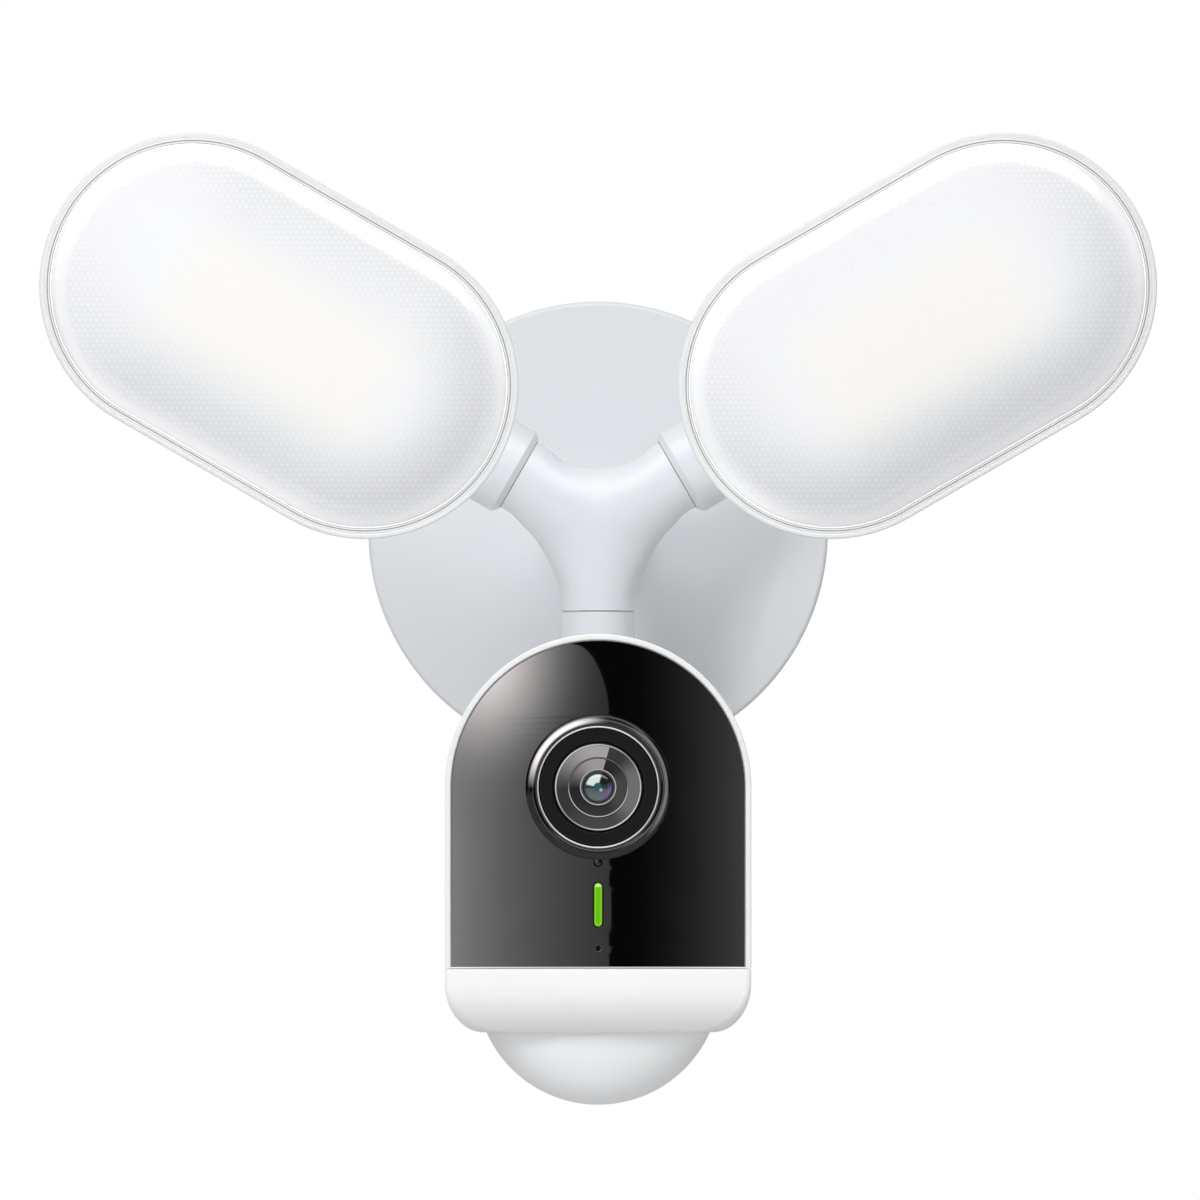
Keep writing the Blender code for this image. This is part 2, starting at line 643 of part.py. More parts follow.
def head_shell():
    """The head's rear casing: the arch runs back straight, then closes rounded. Its bottom is open."""
    straight_end = HEAD_FRONT + HEAD_STRAIGHT
    stations = [(HEAD_FRONT, HEAD_R), (straight_end, HEAD_R)]
    for share in HEAD_STATIONS:
        stations.append((straight_end + share * HEAD_REAR_DEPTH, rear_radius(share, HEAD_R)))
    bm = bmesh.new()
    rings = []
    for y, radius in stations:
        rings.append([bm.verts.new((x * MM, y * MM, z * MM)) for x, z in arch_points(radius, SEAM_Z)])
    for a, b in zip(rings, rings[1:]):
        for i in range(len(a) - 1):
            bm.faces.new((a[i], b[i], b[i + 1], a[i + 1]))
    bm.faces.new(rings[-1])
    casing = shell("head_shell", bm, HEAD_WALL, Vector((0, 0, 1)), white_shell())
    radius, reach = PIVOT_LUG_R, 18.0
    lug = [(-reach, radius)] + arc((0, 0), radius, 90, -90, 8) + [(-reach, -radius)]
    half, look = PIVOT_LUG_HALF, white_shell()
    hidden = dict(group="cutters", location=(HUB.x, HUB.y, PIVOT_Z))
    join(casing, prism("join_pivot_lug", lug, -half, half, look, rotation=SIDE_ON, **hidden))
    cut(casing, rod("cut_pivot", PIVOT_BOLT_R + GAP, -8, 8, look, steps=14, rotation=ALONG_X, **hidden))
    for index in range(4):
        y = -149.0 + 4.0 * index
        slot = block(f"cut_grille_{index}", (-44, y - 0.8, -103), (-38, y + 0.8, -88), look, group="cutters")
        cut(casing, slot)
    low, high = service_opening(GAP)
    cut(casing, block("cut_service", (36, *low), (44, *high), look, group="cutters"))


def service_opening(margin):
    """Lower and upper (y, z) corners of the opening on the head's right side."""
    low = (SERVICE_Y[0] - margin, SERVICE_Z[0] - margin)
    return low, (SERVICE_Y[1] + margin, SERVICE_Z[1] + margin)


def service_pieces():
    low, high = service_opening(0)
    block("service_cover", (HEAD_R - 1.3, *low), (HEAD_R, *high), white_shell())
    rod("reset_button", 1.8, 30.2, 37.8, black_matte(), steps=14, location=(0, -146, -96), rotation=ALONG_X)


def plan_outline(inset):
    """The head's outline from above, as (x, y), drawn in by inset, with its front corners rounded."""
    half, short = HEAD_R - inset, inset * 0.55
    front, corner = HEAD_FRONT + short, 1.5 + inset * 0.7
    straight_end, depth = HEAD_FRONT + HEAD_STRAIGHT, HEAD_REAR_DEPTH - short
    right = [(rear_radius(share, half), straight_end + share * depth) for share in (0, *HEAD_STATIONS)]
    corners = arc((half - corner, front + corner), corner, -90, 0, 4)
    side = corners + right
    return side + [(-x, y) for x, y in side[::-1]]


def bottom_cover():
    """The tray that closes the head from below, with a rounded lower edge and a hole for the dome."""
    drop, steps = TRAY_ROUND_TOP - HEAD_BOTTOM, 5
    levels = [(SEAM_Z - GAP, 0.0)]
    for i in range(steps + 1):
        swing = math.radians(90 * i / steps)
        levels.append((TRAY_ROUND_TOP - drop * math.sin(swing), TRAY_PULL * (1 - math.cos(swing))))
    bm = bmesh.new()
    rings = []
    for z, inset in levels:
        rings.append([bm.verts.new((x * MM, y * MM, z * MM)) for x, y in plan_outline(inset)])
    for a, b in zip(rings, rings[1:]):
        for i in range(len(a)):
            j = (i + 1) % len(a)
            bm.faces.new((a[i], b[i], b[j], a[j]))
    bm.faces.new(rings[-1])
    cover = shell("bottom_cover", bm, TRAY_WALL, Vector((0, 0, -1)), lamp_white())
    where = dict(location=(0, DOME_Y, 0), group="cutters", steps=28)
    low, high = HEAD_BOTTOM + 0.8, HEAD_BOTTOM + 2.8
    join(cover, rod("join_dome_seat", DOME_R + 3.2, low, high, lamp_white(), **where))
    cut(cover, rod("cut_dome", DOME_R + GAP, HEAD_BOTTOM - 3, HEAD_BOTTOM + 8, lamp_white(), **where))


def pir_pieces():
    """The motion sensor's milky dome, held by a flange above the tray's floor, and the sensor on its disc."""
    centre_z = DOME_BOTTOM + DOME_SPHERE_R
    start = -math.degrees(math.asin((centre_z - HEAD_BOTTOM) / DOME_SPHERE_R))
    outer = arc((0, centre_z), DOME_SPHERE_R, start, -90, 6)
    inner = arc((0, centre_z), DOME_SPHERE_R - 1.3, -90, start, 5)
    outer[-1] = (0, outer[-1][1])
    inner[0] = (0, inner[0][1])
    flange, top, seat = DOME_R + 2.2, HEAD_BOTTOM + 4.3, HEAD_BOTTOM + 3.1
    profile = [(flange, top), (flange, seat), (DOME_R, seat)] + outer + inner
    profile += [(28.6, HEAD_BOTTOM + 0.5), (28.6, top)]
    turned("pir_dome", profile, nylon(), steps=28, location=(0, DOME_Y, 0))
    sensor = [(0, -125.0), (14, -125.0), (14, -126.6), (4.6, -126.6), (4.6, -131.5), (0, -131.5)]
    turned("pir_sensor", sensor, steel(), steps=18, location=(0, DOME_Y, 0))


def front_pieces():
    """The glossy front panel with its swell round the lens, and the flat pieces behind it. h runs forward."""
    where = dict(location=(0, PANEL_FRONT, 0), rotation=FACING_FRONT)
    lens_at = (0, ARCH_Z)
    lens_hole = arc(lens_at, LENS_HOLE_R, 0, 360 - 360 / 32, 31)
    slot = [(z, x + LIGHT_Z) for x, z in stadium_outline(1.35, 4.6, 5)]
    sensor = arc((0, SENSOR_Z), 1.15, 0, 330, 11)
    mic = arc((0, MIC_Z), 1.1, 0, 330, 11)
    outlines = [arch_points(PANEL_R, SEAM_Z + GAP, 18), lens_hole, slot, sensor, mic]
    panel = as_mesh(plate("front_panel", outlines, -2.0, 0, black_gloss(), **where))
    swell = [
        (18.9, -0.5), (18.8, 0.15), (18.3, 0.9), (17.5, 1.25), (16.9, 1.1), (LENS_HOLE_R, 0.5),
        (LENS_HOLE_R, -1.2), (17.6, -1.2),
    ]
    centre = dict(location=(0, PANEL_FRONT, ARCH_Z), rotation=FACING_FRONT)
    join(panel, turned("join_swell", swell, black_gloss(), steps=32, group="cutters", **centre))
    seal_edge, seal_hole = arch_points(39.0, SEAM_Z + 0.6, 14), arch_points(36.6, SEAM_Z + 3, 14)
    plate("panel_gasket", [seal_edge, seal_hole], -3.0, -2.3, rubber(), **where)
    outlines = [arch_points(38.9, SEAM_Z + 0.6, 14), arc(lens_at, 15.9, 0, 345, 23), mic]
    plate("inner_frame", outlines, -5.8, -3.3, black_matte(), **where)
    bar = [(z, x + LIGHT_Z) for x, z in stadium_outline(1.2, 4.6, 5)]
    plate("status_light", [bar], -2.2, 0.15, green_light(), **where)
    at_sensor = dict(location=(0, PANEL_FRONT, SENSOR_Z), rotation=FACING_FRONT)
    rod("light_sensor_window", 1.0, -2.0, -0.25, optical_glass(), steps=12, **at_sensor)
    at_mic = dict(location=(0, PANEL_FRONT, MIC_Z), rotation=FACING_FRONT)
    rod("microphone", 2.4, -8.3, -6.1, steel(), steps=12, **at_mic)


def lens_pieces():
    """The camera's lens, from its bright ring to the image sensor, with heights forward of the panel's face."""
    centre = dict(location=(0, PANEL_FRONT, ARCH_Z), rotation=FACING_FRONT)
    ring = [(16.3, -2.6), (16.3, 0.75), (16.1, 1.0), (15.8, 0.75), (15.8, -2.6)]
    turned("lens_trim_ring", ring, steel(), steps=28, **centre)
    shroud = [(15.5, -2.8), (15.5, 0.2), (12.1, 0.2), (11.9, 0.0), (11.9, -2.8)]
    turned("lens_shroud", shroud, black_matte(), steps=28, **centre)
    barrel = [
        (11.6, -12), (11.6, -0.2), (11.4, 0.1), (11.0, -0.1), (8.2, -2.4), (7.8, -2.2), (7.5, -2.5),
        (4.9, -5.4), (4.7, -5.4), (4.7, -12),
    ]
    turned("lens_barrel", barrel, black_matte(), steps=24, **centre)
    glass_r, glass_rise, glass_edge = 4.4, 2.0, -5.4
    dome = [(0, glass_edge + glass_rise)]
    for step in range(1, 5):
        swing = math.radians(22.5 * step)
        dome.append((glass_r * math.sin(swing), glass_edge + glass_rise * math.cos(swing)))
    turned("lens_glass", dome + [(glass_r, -6.6), (0, -6.6)], optical_glass(), steps=16, **centre)
    rear = [(0, -7.4), (2.4, -7.7), (4.3, -8.4), (4.3, -9.4), (0, -10.2)]
    turned("rear_lens", rear, optical_glass(), steps=16, **centre)
    half = 13
    low, high = (-half, -147.8, ARCH_Z - half), (half, -146.2, ARCH_Z + half)
    block("image_sensor_board", low, high, circuit_board())


def head_internals():
    """The main board with its shields and the reset switch's body, and the speaker behind the grille."""
    board = block("main_board", (-29, -141.0, -113), (29, -139.4, -52), circuit_board())
    parts = {
        "processor": ((-14, -143.4, -109), (6, -140.5, -89)),
        "radio": ((9, -142.6, -86), (25, -140.5, -70)),
        "connector": ((-24, -144.5, -66), (-14, -140.5, -57)),
        "switch": ((20, -148.5, -99.5), (29, -140.5, -92.5)),
    }
    for label, (low, high) in parts.items():
        join(board, block(f"join_{label}", low, high, circuit_board(), group="cutters"))
    driver = [(0, 32), (9, 32), (12, 35.5), (12, 38.8), (0, 38.8)]
    beside_grille = dict(location=(0, -143.2, -95.5), rotation=(0, -math.pi / 2, 0))
    turned("speaker", driver, black_matte(), steps=20, **beside_grille)


def build():
    clear_scene()
    wall_bracket()
    base_canopy()
    base_internals()
    arm_shells()
    lamp_assemblies()
    neck()
    head_shell()
    service_pieces()
    bottom_cover()
    pir_pieces()
    front_pieces()
    lens_pieces()
    head_internals()


build()
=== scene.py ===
import json
import math

import bmesh
import bpy
from mathutils import Matrix, Vector

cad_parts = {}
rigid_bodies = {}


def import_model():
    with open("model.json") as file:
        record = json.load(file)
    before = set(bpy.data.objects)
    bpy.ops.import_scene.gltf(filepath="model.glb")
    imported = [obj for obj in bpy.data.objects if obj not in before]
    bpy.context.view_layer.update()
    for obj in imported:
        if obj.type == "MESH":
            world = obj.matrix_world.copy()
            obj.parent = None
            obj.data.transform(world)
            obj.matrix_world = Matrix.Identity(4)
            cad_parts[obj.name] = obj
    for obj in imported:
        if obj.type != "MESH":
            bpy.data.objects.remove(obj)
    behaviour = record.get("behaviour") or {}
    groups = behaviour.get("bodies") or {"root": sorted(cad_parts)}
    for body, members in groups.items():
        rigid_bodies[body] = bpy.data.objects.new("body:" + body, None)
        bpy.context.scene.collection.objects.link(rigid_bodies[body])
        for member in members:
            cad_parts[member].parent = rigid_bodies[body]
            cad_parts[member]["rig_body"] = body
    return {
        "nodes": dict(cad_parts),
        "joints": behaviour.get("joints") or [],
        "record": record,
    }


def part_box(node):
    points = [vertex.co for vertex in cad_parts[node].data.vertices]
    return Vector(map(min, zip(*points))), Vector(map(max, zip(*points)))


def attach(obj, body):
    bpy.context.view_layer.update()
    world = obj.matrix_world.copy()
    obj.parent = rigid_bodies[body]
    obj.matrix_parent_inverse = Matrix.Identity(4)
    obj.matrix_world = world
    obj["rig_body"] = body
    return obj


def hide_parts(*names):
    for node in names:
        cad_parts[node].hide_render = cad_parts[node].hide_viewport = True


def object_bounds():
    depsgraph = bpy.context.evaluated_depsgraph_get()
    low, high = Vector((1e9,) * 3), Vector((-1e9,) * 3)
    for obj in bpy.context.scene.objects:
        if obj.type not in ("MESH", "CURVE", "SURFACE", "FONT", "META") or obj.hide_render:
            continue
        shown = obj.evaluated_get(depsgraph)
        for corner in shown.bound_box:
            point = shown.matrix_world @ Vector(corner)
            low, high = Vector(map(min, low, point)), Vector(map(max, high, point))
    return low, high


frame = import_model()
cad_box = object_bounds()

# The looks of a floodlight security camera: most CAD nodes get a finer piece that rides on the same body.
# Lengths are in millimetres, until the mesh functions make them metres. The wall is the plane y = 0, the
# front faces -y and +z is up.

MM = 0.001
GAP = 0.3  # between pieces that fit into each other


def low(node):
    """The lowest corner of a CAD node's box, in millimetres."""
    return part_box(node)[0] / MM


def high(node):
    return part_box(node)[1] / MM


def middle(node):
    return (low(node) + high(node)) / 2


def joint_at(name):
    """A joint's place, in millimetres."""
    return Vector(next(j["pos_m"] for j in frame["joints"] if j["name"] == name)) / MM


SIDES = ("left", "right")
SLOTS = {part["node"]: part["material_slot"] for part in frame["record"]["subparts"]}

# Places taken from the frame
HUB = joint_at("right_swivel_roll")
KNUCKLE = {side: joint_at(f"{side}_lamp_tilt") for side in SIDES}
KNUCKLE_U = (KNUCKLE["right"] - HUB).length
LAMP_U = math.hypot(middle("right_lamp_bezel").x - HUB.x, middle("right_lamp_bezel").z - HUB.z)
PIVOT = joint_at("camera_tilt")
CANOPY_R, CANOPY_H = high("base_canopy").x, -low("base_canopy").y
SIDE_SCREW_H = -middle("canopy_screw_right").y
HEAD_R, HEAD_FRONT = high("head_shell").x, low("head_shell").y
SEAM_Z = low("head_shell").z
ARCH_Z = middle("lens_trim_ring").z
TRAY_REAR = high("bottom_cover").y
TRAY_BOTTOM = low("bottom_cover").z
DOME_Y = middle("pir_dome").y
DOME_BOTTOM = low("pir_dome").z
PANEL_Y = low("inner_frame").y - 3.3
NECK_TOP = joint_at("camera_pan").z

# Sizes shared by several pieces. An R is a radius, and a U is a distance along an arm from the hub.
TUBE_R, TUBE_FILLET, HUB_CREST = 10.0, 29.0, 11.0
ARM_WALL, ARM_EDGE, ARM_GAP = 2.2, 0.8, 0.15
LAMP_ARM_END, LEG_END = 30.0, HUB.z - NECK_TOP - 0.4
WAIST_SHIFT = {90: -1.6, 210: 0.9, 330: 0.9}  # outwards, at the angle half way between two legs
ARM_SCREW_U = 14.3
TRUNK_R, TRUNK_HOLE_R, TRUNK_BORE_R = 10.9, 11.2, 6.5
SHAFT_R, COLLAR_R, YOKE_R, YOKE_BOTTOM = 5.2, 12.2, 9.9, -44.0
KNUCKLE_R, LUG_R = 7.0, 6.5
LAMP_BORE_R, HEAD_BORE_R = 2.8, 2.5
HALF_LINE, LAMP_R, LAMP_FRONT, COVER_R = 26.7, 41.2, 33.2, 38.0
TERMINALS, TERMINAL_Z = (-11, 0, 11), 37.5
HEAD_WALL, HEAD_STRAIGHT, HEAD_ROUNDNESS = 1.5, 29.0, 2.3
HEAD_STRAIGHT_END = HEAD_FRONT + HEAD_STRAIGHT
REAR_STEPS, REAR_SHARE = 26, 0.985  # the head's rear is cut off just before its superellipse closes
PANEL_R, PANEL_DEPTH, LENS_HOLE_R = 39.2, 2.0, 16.55
TRAY_WALL, TRAY_ROUND_TOP, TRAY_PULL = 1.8, -121.0, 10.5
DOME_SPHERE_R, DOME_R, DOME_WALL = 32.8, 30.0, 1.3

# Heights on the panel's face from the lens axis
LIGHT_Z, LIGHT_HALF_LINE = middle("status_light").z - ARCH_Z + 0.35, 4.75
SENSOR_Z = middle("light_sensor_window").z - ARCH_Z
MIC_Z = middle("microphone").z - ARCH_Z


# ---------------------------------------------------------------- local frames


def at(x, y, z):
    """The world's axes, with the origin at this place."""
    return Matrix.Translation(Vector((x, y, z)) * MM)


def facing_front(x, y, z):
    """Local z points to the front and local y up."""
    return at(x, y, z) @ Matrix.Rotation(math.pi / 2, 4, "X")


def facing_back(x, y, z):
    """Local z points to the wall."""
    return at(x, y, z) @ Matrix.Rotation(-math.pi / 2, 4, "X")


def along_x(x, y, z, sign=1):
    """Local z points to the right, or to the left for sign -1."""
    return at(x, y, z) @ Matrix.Rotation(sign * math.pi / 2, 4, "Y")


def frame_of(origin, x, y, z):
    """A frame at origin whose local axes are these world directions."""
    return at(*origin) @ Matrix((x, y, z)).transposed().to_4x4()


def side_on(origin=(0, 0, 0)):
    """Local x points to the wall, y up and z to the right."""
    return frame_of(origin, (0, 1, 0), (0, 0, 1), (1, 0, 0))


def arm_axes(side):
    """Unit vectors of a lamp arm: along it, across it and to the front."""
    along = (KNUCKLE[side] - HUB).normalized()
    front = Vector((0, -1, 0))
    return along, front.cross(along), front


def lamp_frame(side):
    """Local x runs along the arm, y across it and z to the front, with the origin at the lamp's middle."""
    along, across, front = arm_axes(side)
    return frame_of(HUB + along * LAMP_U, along, across, front)


def axis_frame(side):
    """Local z runs along the arm from the hub."""
    along, across, front = arm_axes(side)
    return frame_of(HUB, across, front, along)


def tilt_frame(side, origin=HUB):
    """Local x runs along the arm, y to the wall and z across it, as the tilt joint's axis does."""
    along, across, front = arm_axes(side)
    return frame_of(origin, along, -front, across)


def knuckle_frame(side):
    return tilt_frame(side, KNUCKLE[side])


# ---------------------------------------------------------------- outlines


def arc(centre, radius, start, end, count):
    """Points on an arc between two angles in degrees, with both ends."""
    angles = [math.radians(start + (end - start) * i / count) for i in range(count + 1)]
    return [(centre[0] + radius * math.cos(a), centre[1] + radius * math.sin(a)) for a in angles]


def rounded(corners, steps=5):
    """A closed outline from (x, y) or (x, y, radius) corners; those with a radius become arcs."""
    points = [Vector(c[:2]) for c in corners]
    made = []
    for i, corner in enumerate(corners):
        here = points[i]
        if len(corner) < 3 or not corner[2]:
            made.append(tuple(here))
            continue
        back, ahead = points[i - 1] - here, points[(i + 1) % len(points)] - here
        half = back.angle(ahead) / 2
        reach = min(corner[2] / math.tan(half), 0.49 * back.length, 0.49 * ahead.length)
        radius = reach * math.tan(half)
        centre = here + (back.normalized() + ahead.normalized()).normalized() * math.hypot(radius, reach)
        first = here + back.normalized() * reach - centre
        last = here + ahead.normalized() * reach - centre
        swing = math.atan2(first.x * last.y - first.y * last.x, first.dot(last))
        for k in range(steps + 1):
            made.append(tuple(centre + Matrix.Rotation(swing * k / steps, 2) @ first))
    return made


def circle(radius, height, steps=144):
    """A closed loop of points at one height, as stadium is."""
    turns = [2 * math.pi * i / steps for i in range(steps)]
    return [(radius * math.cos(a), radius * math.sin(a), height) for a in turns]


def stadium(radius, height, half_line=HALF_LINE, count=44):
    outline = arc((half_line, 0), radius, -90, 90, count) + arc((-half_line, 0), radius, 90, 270, count)
    return [(x, y, height) for x, y in outline]


def arch(radius, bottom, count=72):
    """The head's front outline: straight sides up to a half circle, as (x, z)."""
    return [(radius, bottom)] + arc((0, ARCH_Z), radius, 0, 180, count) + [(-radius, bottom)]


def rear_curve(half, depth, share):
    """(half width, depth) on the head's rear: a superellipse, from its widest at share 0 to its end at 1."""
    power, swing = 2 / HEAD_ROUNDNESS, share * math.pi / 2
    return half * max(math.cos(swing), 0) ** power, depth * math.sin(swing) ** power


# ---------------------------------------------------------------- pieces

# The lights' shadows come from these pieces only, so that the lamps leave the canopy lit.
SHADERS = bpy.data.collections.new("shaders")
SHADING_BODIES = ("base", "camera_neck", "camera_head")
SHADELESS_NODES = ("base_canopy", "base_gasket")


def add_object(name, data):
    obj = bpy.data.objects.new(name, data)
    bpy.context.scene.collection.objects.link(obj)
    return obj


def mesh(name, points, faces, place):
    bm = bmesh.new()
    verts = [bm.verts.new(Vector(p) * MM) for p in points]
    for face in faces:
        bm.faces.new([verts[i] for i in face])
    return mesh_from(name, bm, place)


def mesh_from(name, bm, place, merge=1e-6):
    """An object from a bmesh, with points closer than merge made one and its faces turned outwards."""
    bmesh.ops.remove_doubles(bm, verts=bm.verts, dist=merge)
    bmesh.ops.recalc_face_normals(bm, faces=bm.faces)
    data = bpy.data.meshes.new(name)
    bm.to_mesh(data)
    bm.free()
    obj = add_object(name, data)
    obj.matrix_world = place
    return obj


def loft(name, loops, place, around=True, closed=True, more=()):
    """Joins loops of equal count into a skin.

    around joins the last loop to the first, closed joins the ends of each loop, and more lists faces to add.
    """
    count = len(loops[0])
    points = [p for loop in loops for p in loop]
    faces = list(more)
    for row in range(len(loops) if around else len(loops) - 1):
        a, b = row * count, (row + 1) % len(loops) * count
        for i in range(count if closed else count - 1):
            j = (i + 1) % count
            faces.append((a + i, a + j, b + j, b + i))
    return mesh(name, points, faces, place)


def end_faces(loops):
    """The faces that close a loft at its first and at its last loop."""
    count = len(loops[0])
    start = (len(loops) - 1) * count
    return [tuple(range(count)), tuple(range(start, start + count))]


def lathe(name, outline, place, steps=144):
    """A turned piece: an outline of (radius, height) taken round local z."""
    return loft(name, [circle(max(r, 0), h, steps) for r, h in outline], place)


def rod(radius, start, end, place, steps=40):
    """A plain cylinder along local z, mostly to cut a round hole."""
    return lathe("rod", [(0, start), (radius, start), (radius, end), (0, end)], place, steps)


def stadium_ring(name, outline, place):
    """A stadium-shaped turning. Its outline goes around, or starts and ends on the half line (radius 0)."""
    return loft(name, [stadium(r, z) for r, z in outline], place, around=outline[0][0] > 0.001)


def prism(name, outline, start, end, place, edge=0.4, segments=3):
    """A flat outline extruded along local z, with its edges rounded."""
    bm = bmesh.new()
    face = bm.faces.new([bm.verts.new((x * MM, y * MM, start * MM)) for x, y in outline])
    grown = bmesh.ops.extrude_face_region(bm, geom=[face])
    top = [v for v in grown["geom"] if isinstance(v, bmesh.types.BMVert)]
    bmesh.ops.translate(bm, vec=(0, 0, (end - start) * MM), verts=top)
    obj = mesh_from(name, bm, place)
    if edge:
        bevel(obj, edge, segments)
        settle(obj)
    return obj


def block(name, start, end, place=Matrix(), edge=0.4):
    """A box between two corners, with its edges rounded."""
    outline = [(start[0], start[1]), (end[0], start[1]), (end[0], end[1]), (start[0], end[1])]
    return prism(name, outline, start[2], end[2], place, edge)


def bevel(obj, width, segments=3):
    step = obj.modifiers.new("Bevel", "BEVEL")
    step.width = width * MM
    step.segments = segments
    step.limit_method = "ANGLE"
    step.angle_limit = math.radians(35)
    return step


def made_of(obj):
    """The mesh that an object's modifiers, or its curve's settings, make."""
    bpy.context.view_layer.update()
    graph = bpy.context.evaluated_depsgraph_get()
    return bpy.data.meshes.new_from_object(obj.evaluated_get(graph))


def settle(obj):
    """Replaces an object's mesh with what its modifiers make of it."""
    made = made_of(obj)
    obj.modifiers.clear()
    obj.data = made


def curve_mesh(curve, lines, cyclic=False):
    """The mesh of a curve that runs along these lines of (x, y, z) points."""
    for line in lines:
        spline = curve.splines.new("POLY")
        spline.points.add(len(line) - 1)
        spline.use_cyclic_u = cyclic
        for point, spot in zip(spline.points, line):
            point.co = (*(c * MM for c in spot), 1)
    obj = add_object(curve.name, curve)
    made = made_of(obj)
    bpy.data.objects.remove(obj)
    return made


def carve(obj, *others, operation="DIFFERENCE"):
    """Cuts the others out of obj, and removes them."""
    for other in others:
        step = obj.modifiers.new("Boolean", "BOOLEAN")
        step.operation = operation
        step.object = other
        step.solver = "EXACT"
    settle(obj)
    for other in others:
        bpy.data.objects.remove(other)
    return obj


def grow(obj, *others):
    return carve(obj, *others, operation="UNION")


def paint(obj, look):
    obj.data.materials.clear()
    obj.data.materials.append(look)


def look_of(node):
    return SPECIAL.get(node) or LOOKS[SLOTS[node]]


def weigh_normals(obj):
    """Keeps flat faces flat beside rounded edges. It comes last among the modifiers."""
    step = obj.modifiers.new("Normals", "WEIGHTED_NORMAL")
    step.keep_sharp = True


def ride_along(obj, node, smooth):
    """Finishes a visible piece and puts it on the CAD node's body."""
    obj.data.shade_smooth()
    obj.data.set_sharp_from_angle(angle=math.radians(smooth))
    weigh_normals(obj)
    body = frame["nodes"][node]["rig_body"]
    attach(obj, body)
    if body in SHADING_BODIES and node not in SHADELESS_NODES:
        SHADERS.objects.link(obj)


def put(obj, node, smooth=32):
    """Finishes a piece that stands for a CAD node, with the node's body, look and material slot."""
    obj.name = f"{node}_fine"
    paint(obj, look_of(node))
    ride_along(obj, node, smooth)
    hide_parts(node)


def put_extra(obj, name, node, slot):
    """Finishes a piece beyond the CAD's own, on the same body as node."""
    obj.name = f"{name}_part"
    paint(obj, LOOKS[slot])
    ride_along(obj, node, 32)


def dress(node, edge=0.25):
    """Keeps a CAD node and gives it a material and softened edges."""
    obj = frame["nodes"][node]
    paint(obj, look_of(node))
    weld = obj.modifiers.new("Weld", "WELD")
    weld.merge_threshold = 1e-6
    if edge:
        bevel(obj, edge, 2)
    weigh_normals(obj)


def cross_recess(place, height, width, reach, depth):
    """Two crossing slots that open at the given height on local z."""
    cutters = []
    for a, b in ((reach, width), (width, reach)):
        start, end = (-a / 2, -b / 2, height - depth), (a / 2, b / 2, height + 1)
        cutters.append(block("slot", start, end, place, edge=0))
    return cutters


def screw(node, place, head_r, head_h, shaft_r, length, start, recess="cross"):
    """A screw with a domed head from height start up and its shaft below; the recess is cut into its head."""
    top = start + head_h
    outline = rounded([
        (0, top + 0.12 * head_r), (head_r * 0.55, top + 0.08 * head_r, 2),
        (head_r, top - 0.25 * head_h, 0.3), (head_r, start, 0.15),
        (shaft_r, start), (shaft_r, start - length, 0.3), (0, start - length),
    ], 4)
    made = lathe("screw", outline, place, 64)
    if recess == "cross":
        carve(made, *cross_recess(place, top + 0.15, head_r * 0.3, head_r * 1.15, head_h * 0.7))
    else:
        socket = arc((0, 0), head_r * 0.55, 0, 300, 5)
        carve(made, prism("socket", socket, top - head_h * 0.6, top + 1, place, edge=0))
    put(made, node)


def hex_nut(node, across, bore, start, end, place):
    """A hexagon nut with chamfered corners and a countersunk bore."""
    steps, chamfer = 144, 0.9

    def loop(limit, height):
        points = []
        for i in range(steps):
            turn = 2 * math.pi * i / steps
            flat = across / 2 / math.cos((turn + math.pi / 6) % (math.pi / 3) - math.pi / 6)
            radius = min(flat, limit)
            points.append((radius * math.cos(turn), radius * math.sin(turn), height))
        return points

    corner = across / math.sqrt(3)
    loops = [
        circle(bore + 0.5, start, steps), loop(corner - chamfer, start), loop(corner, start + chamfer * 0.6),
        loop(corner, end - chamfer * 0.6), loop(corner - chamfer, end), circle(bore + 0.5, end, steps),
        circle(bore, end - 0.5, steps), circle(bore, start + 0.5, steps),
    ]
    put(loft("nut", loops, place), node)


# ---------------------------------------------------------------- materials


class Term:
    """A node's output, so that a pattern can be written as a formula."""

    def __init__(self, graph, socket):
        self.graph = graph
        self.socket = socket

    def __add__(self, other):
        return self.graph.math("ADD", self, other)

    def __sub__(self, other):
        return self.graph.math("SUBTRACT", self, other)

    def __rsub__(self, other):
        return self.graph.math("SUBTRACT", other, self)

    def __mul__(self, other):
        return self.graph.math("MULTIPLY", self, other)

    def __truediv__(self, other):
        return self.graph.math("DIVIDE", self, other)

    def __pow__(self, other):
        return self.graph.math("POWER", self, other)

    __radd__ = __add__
    __rmul__ = __mul__


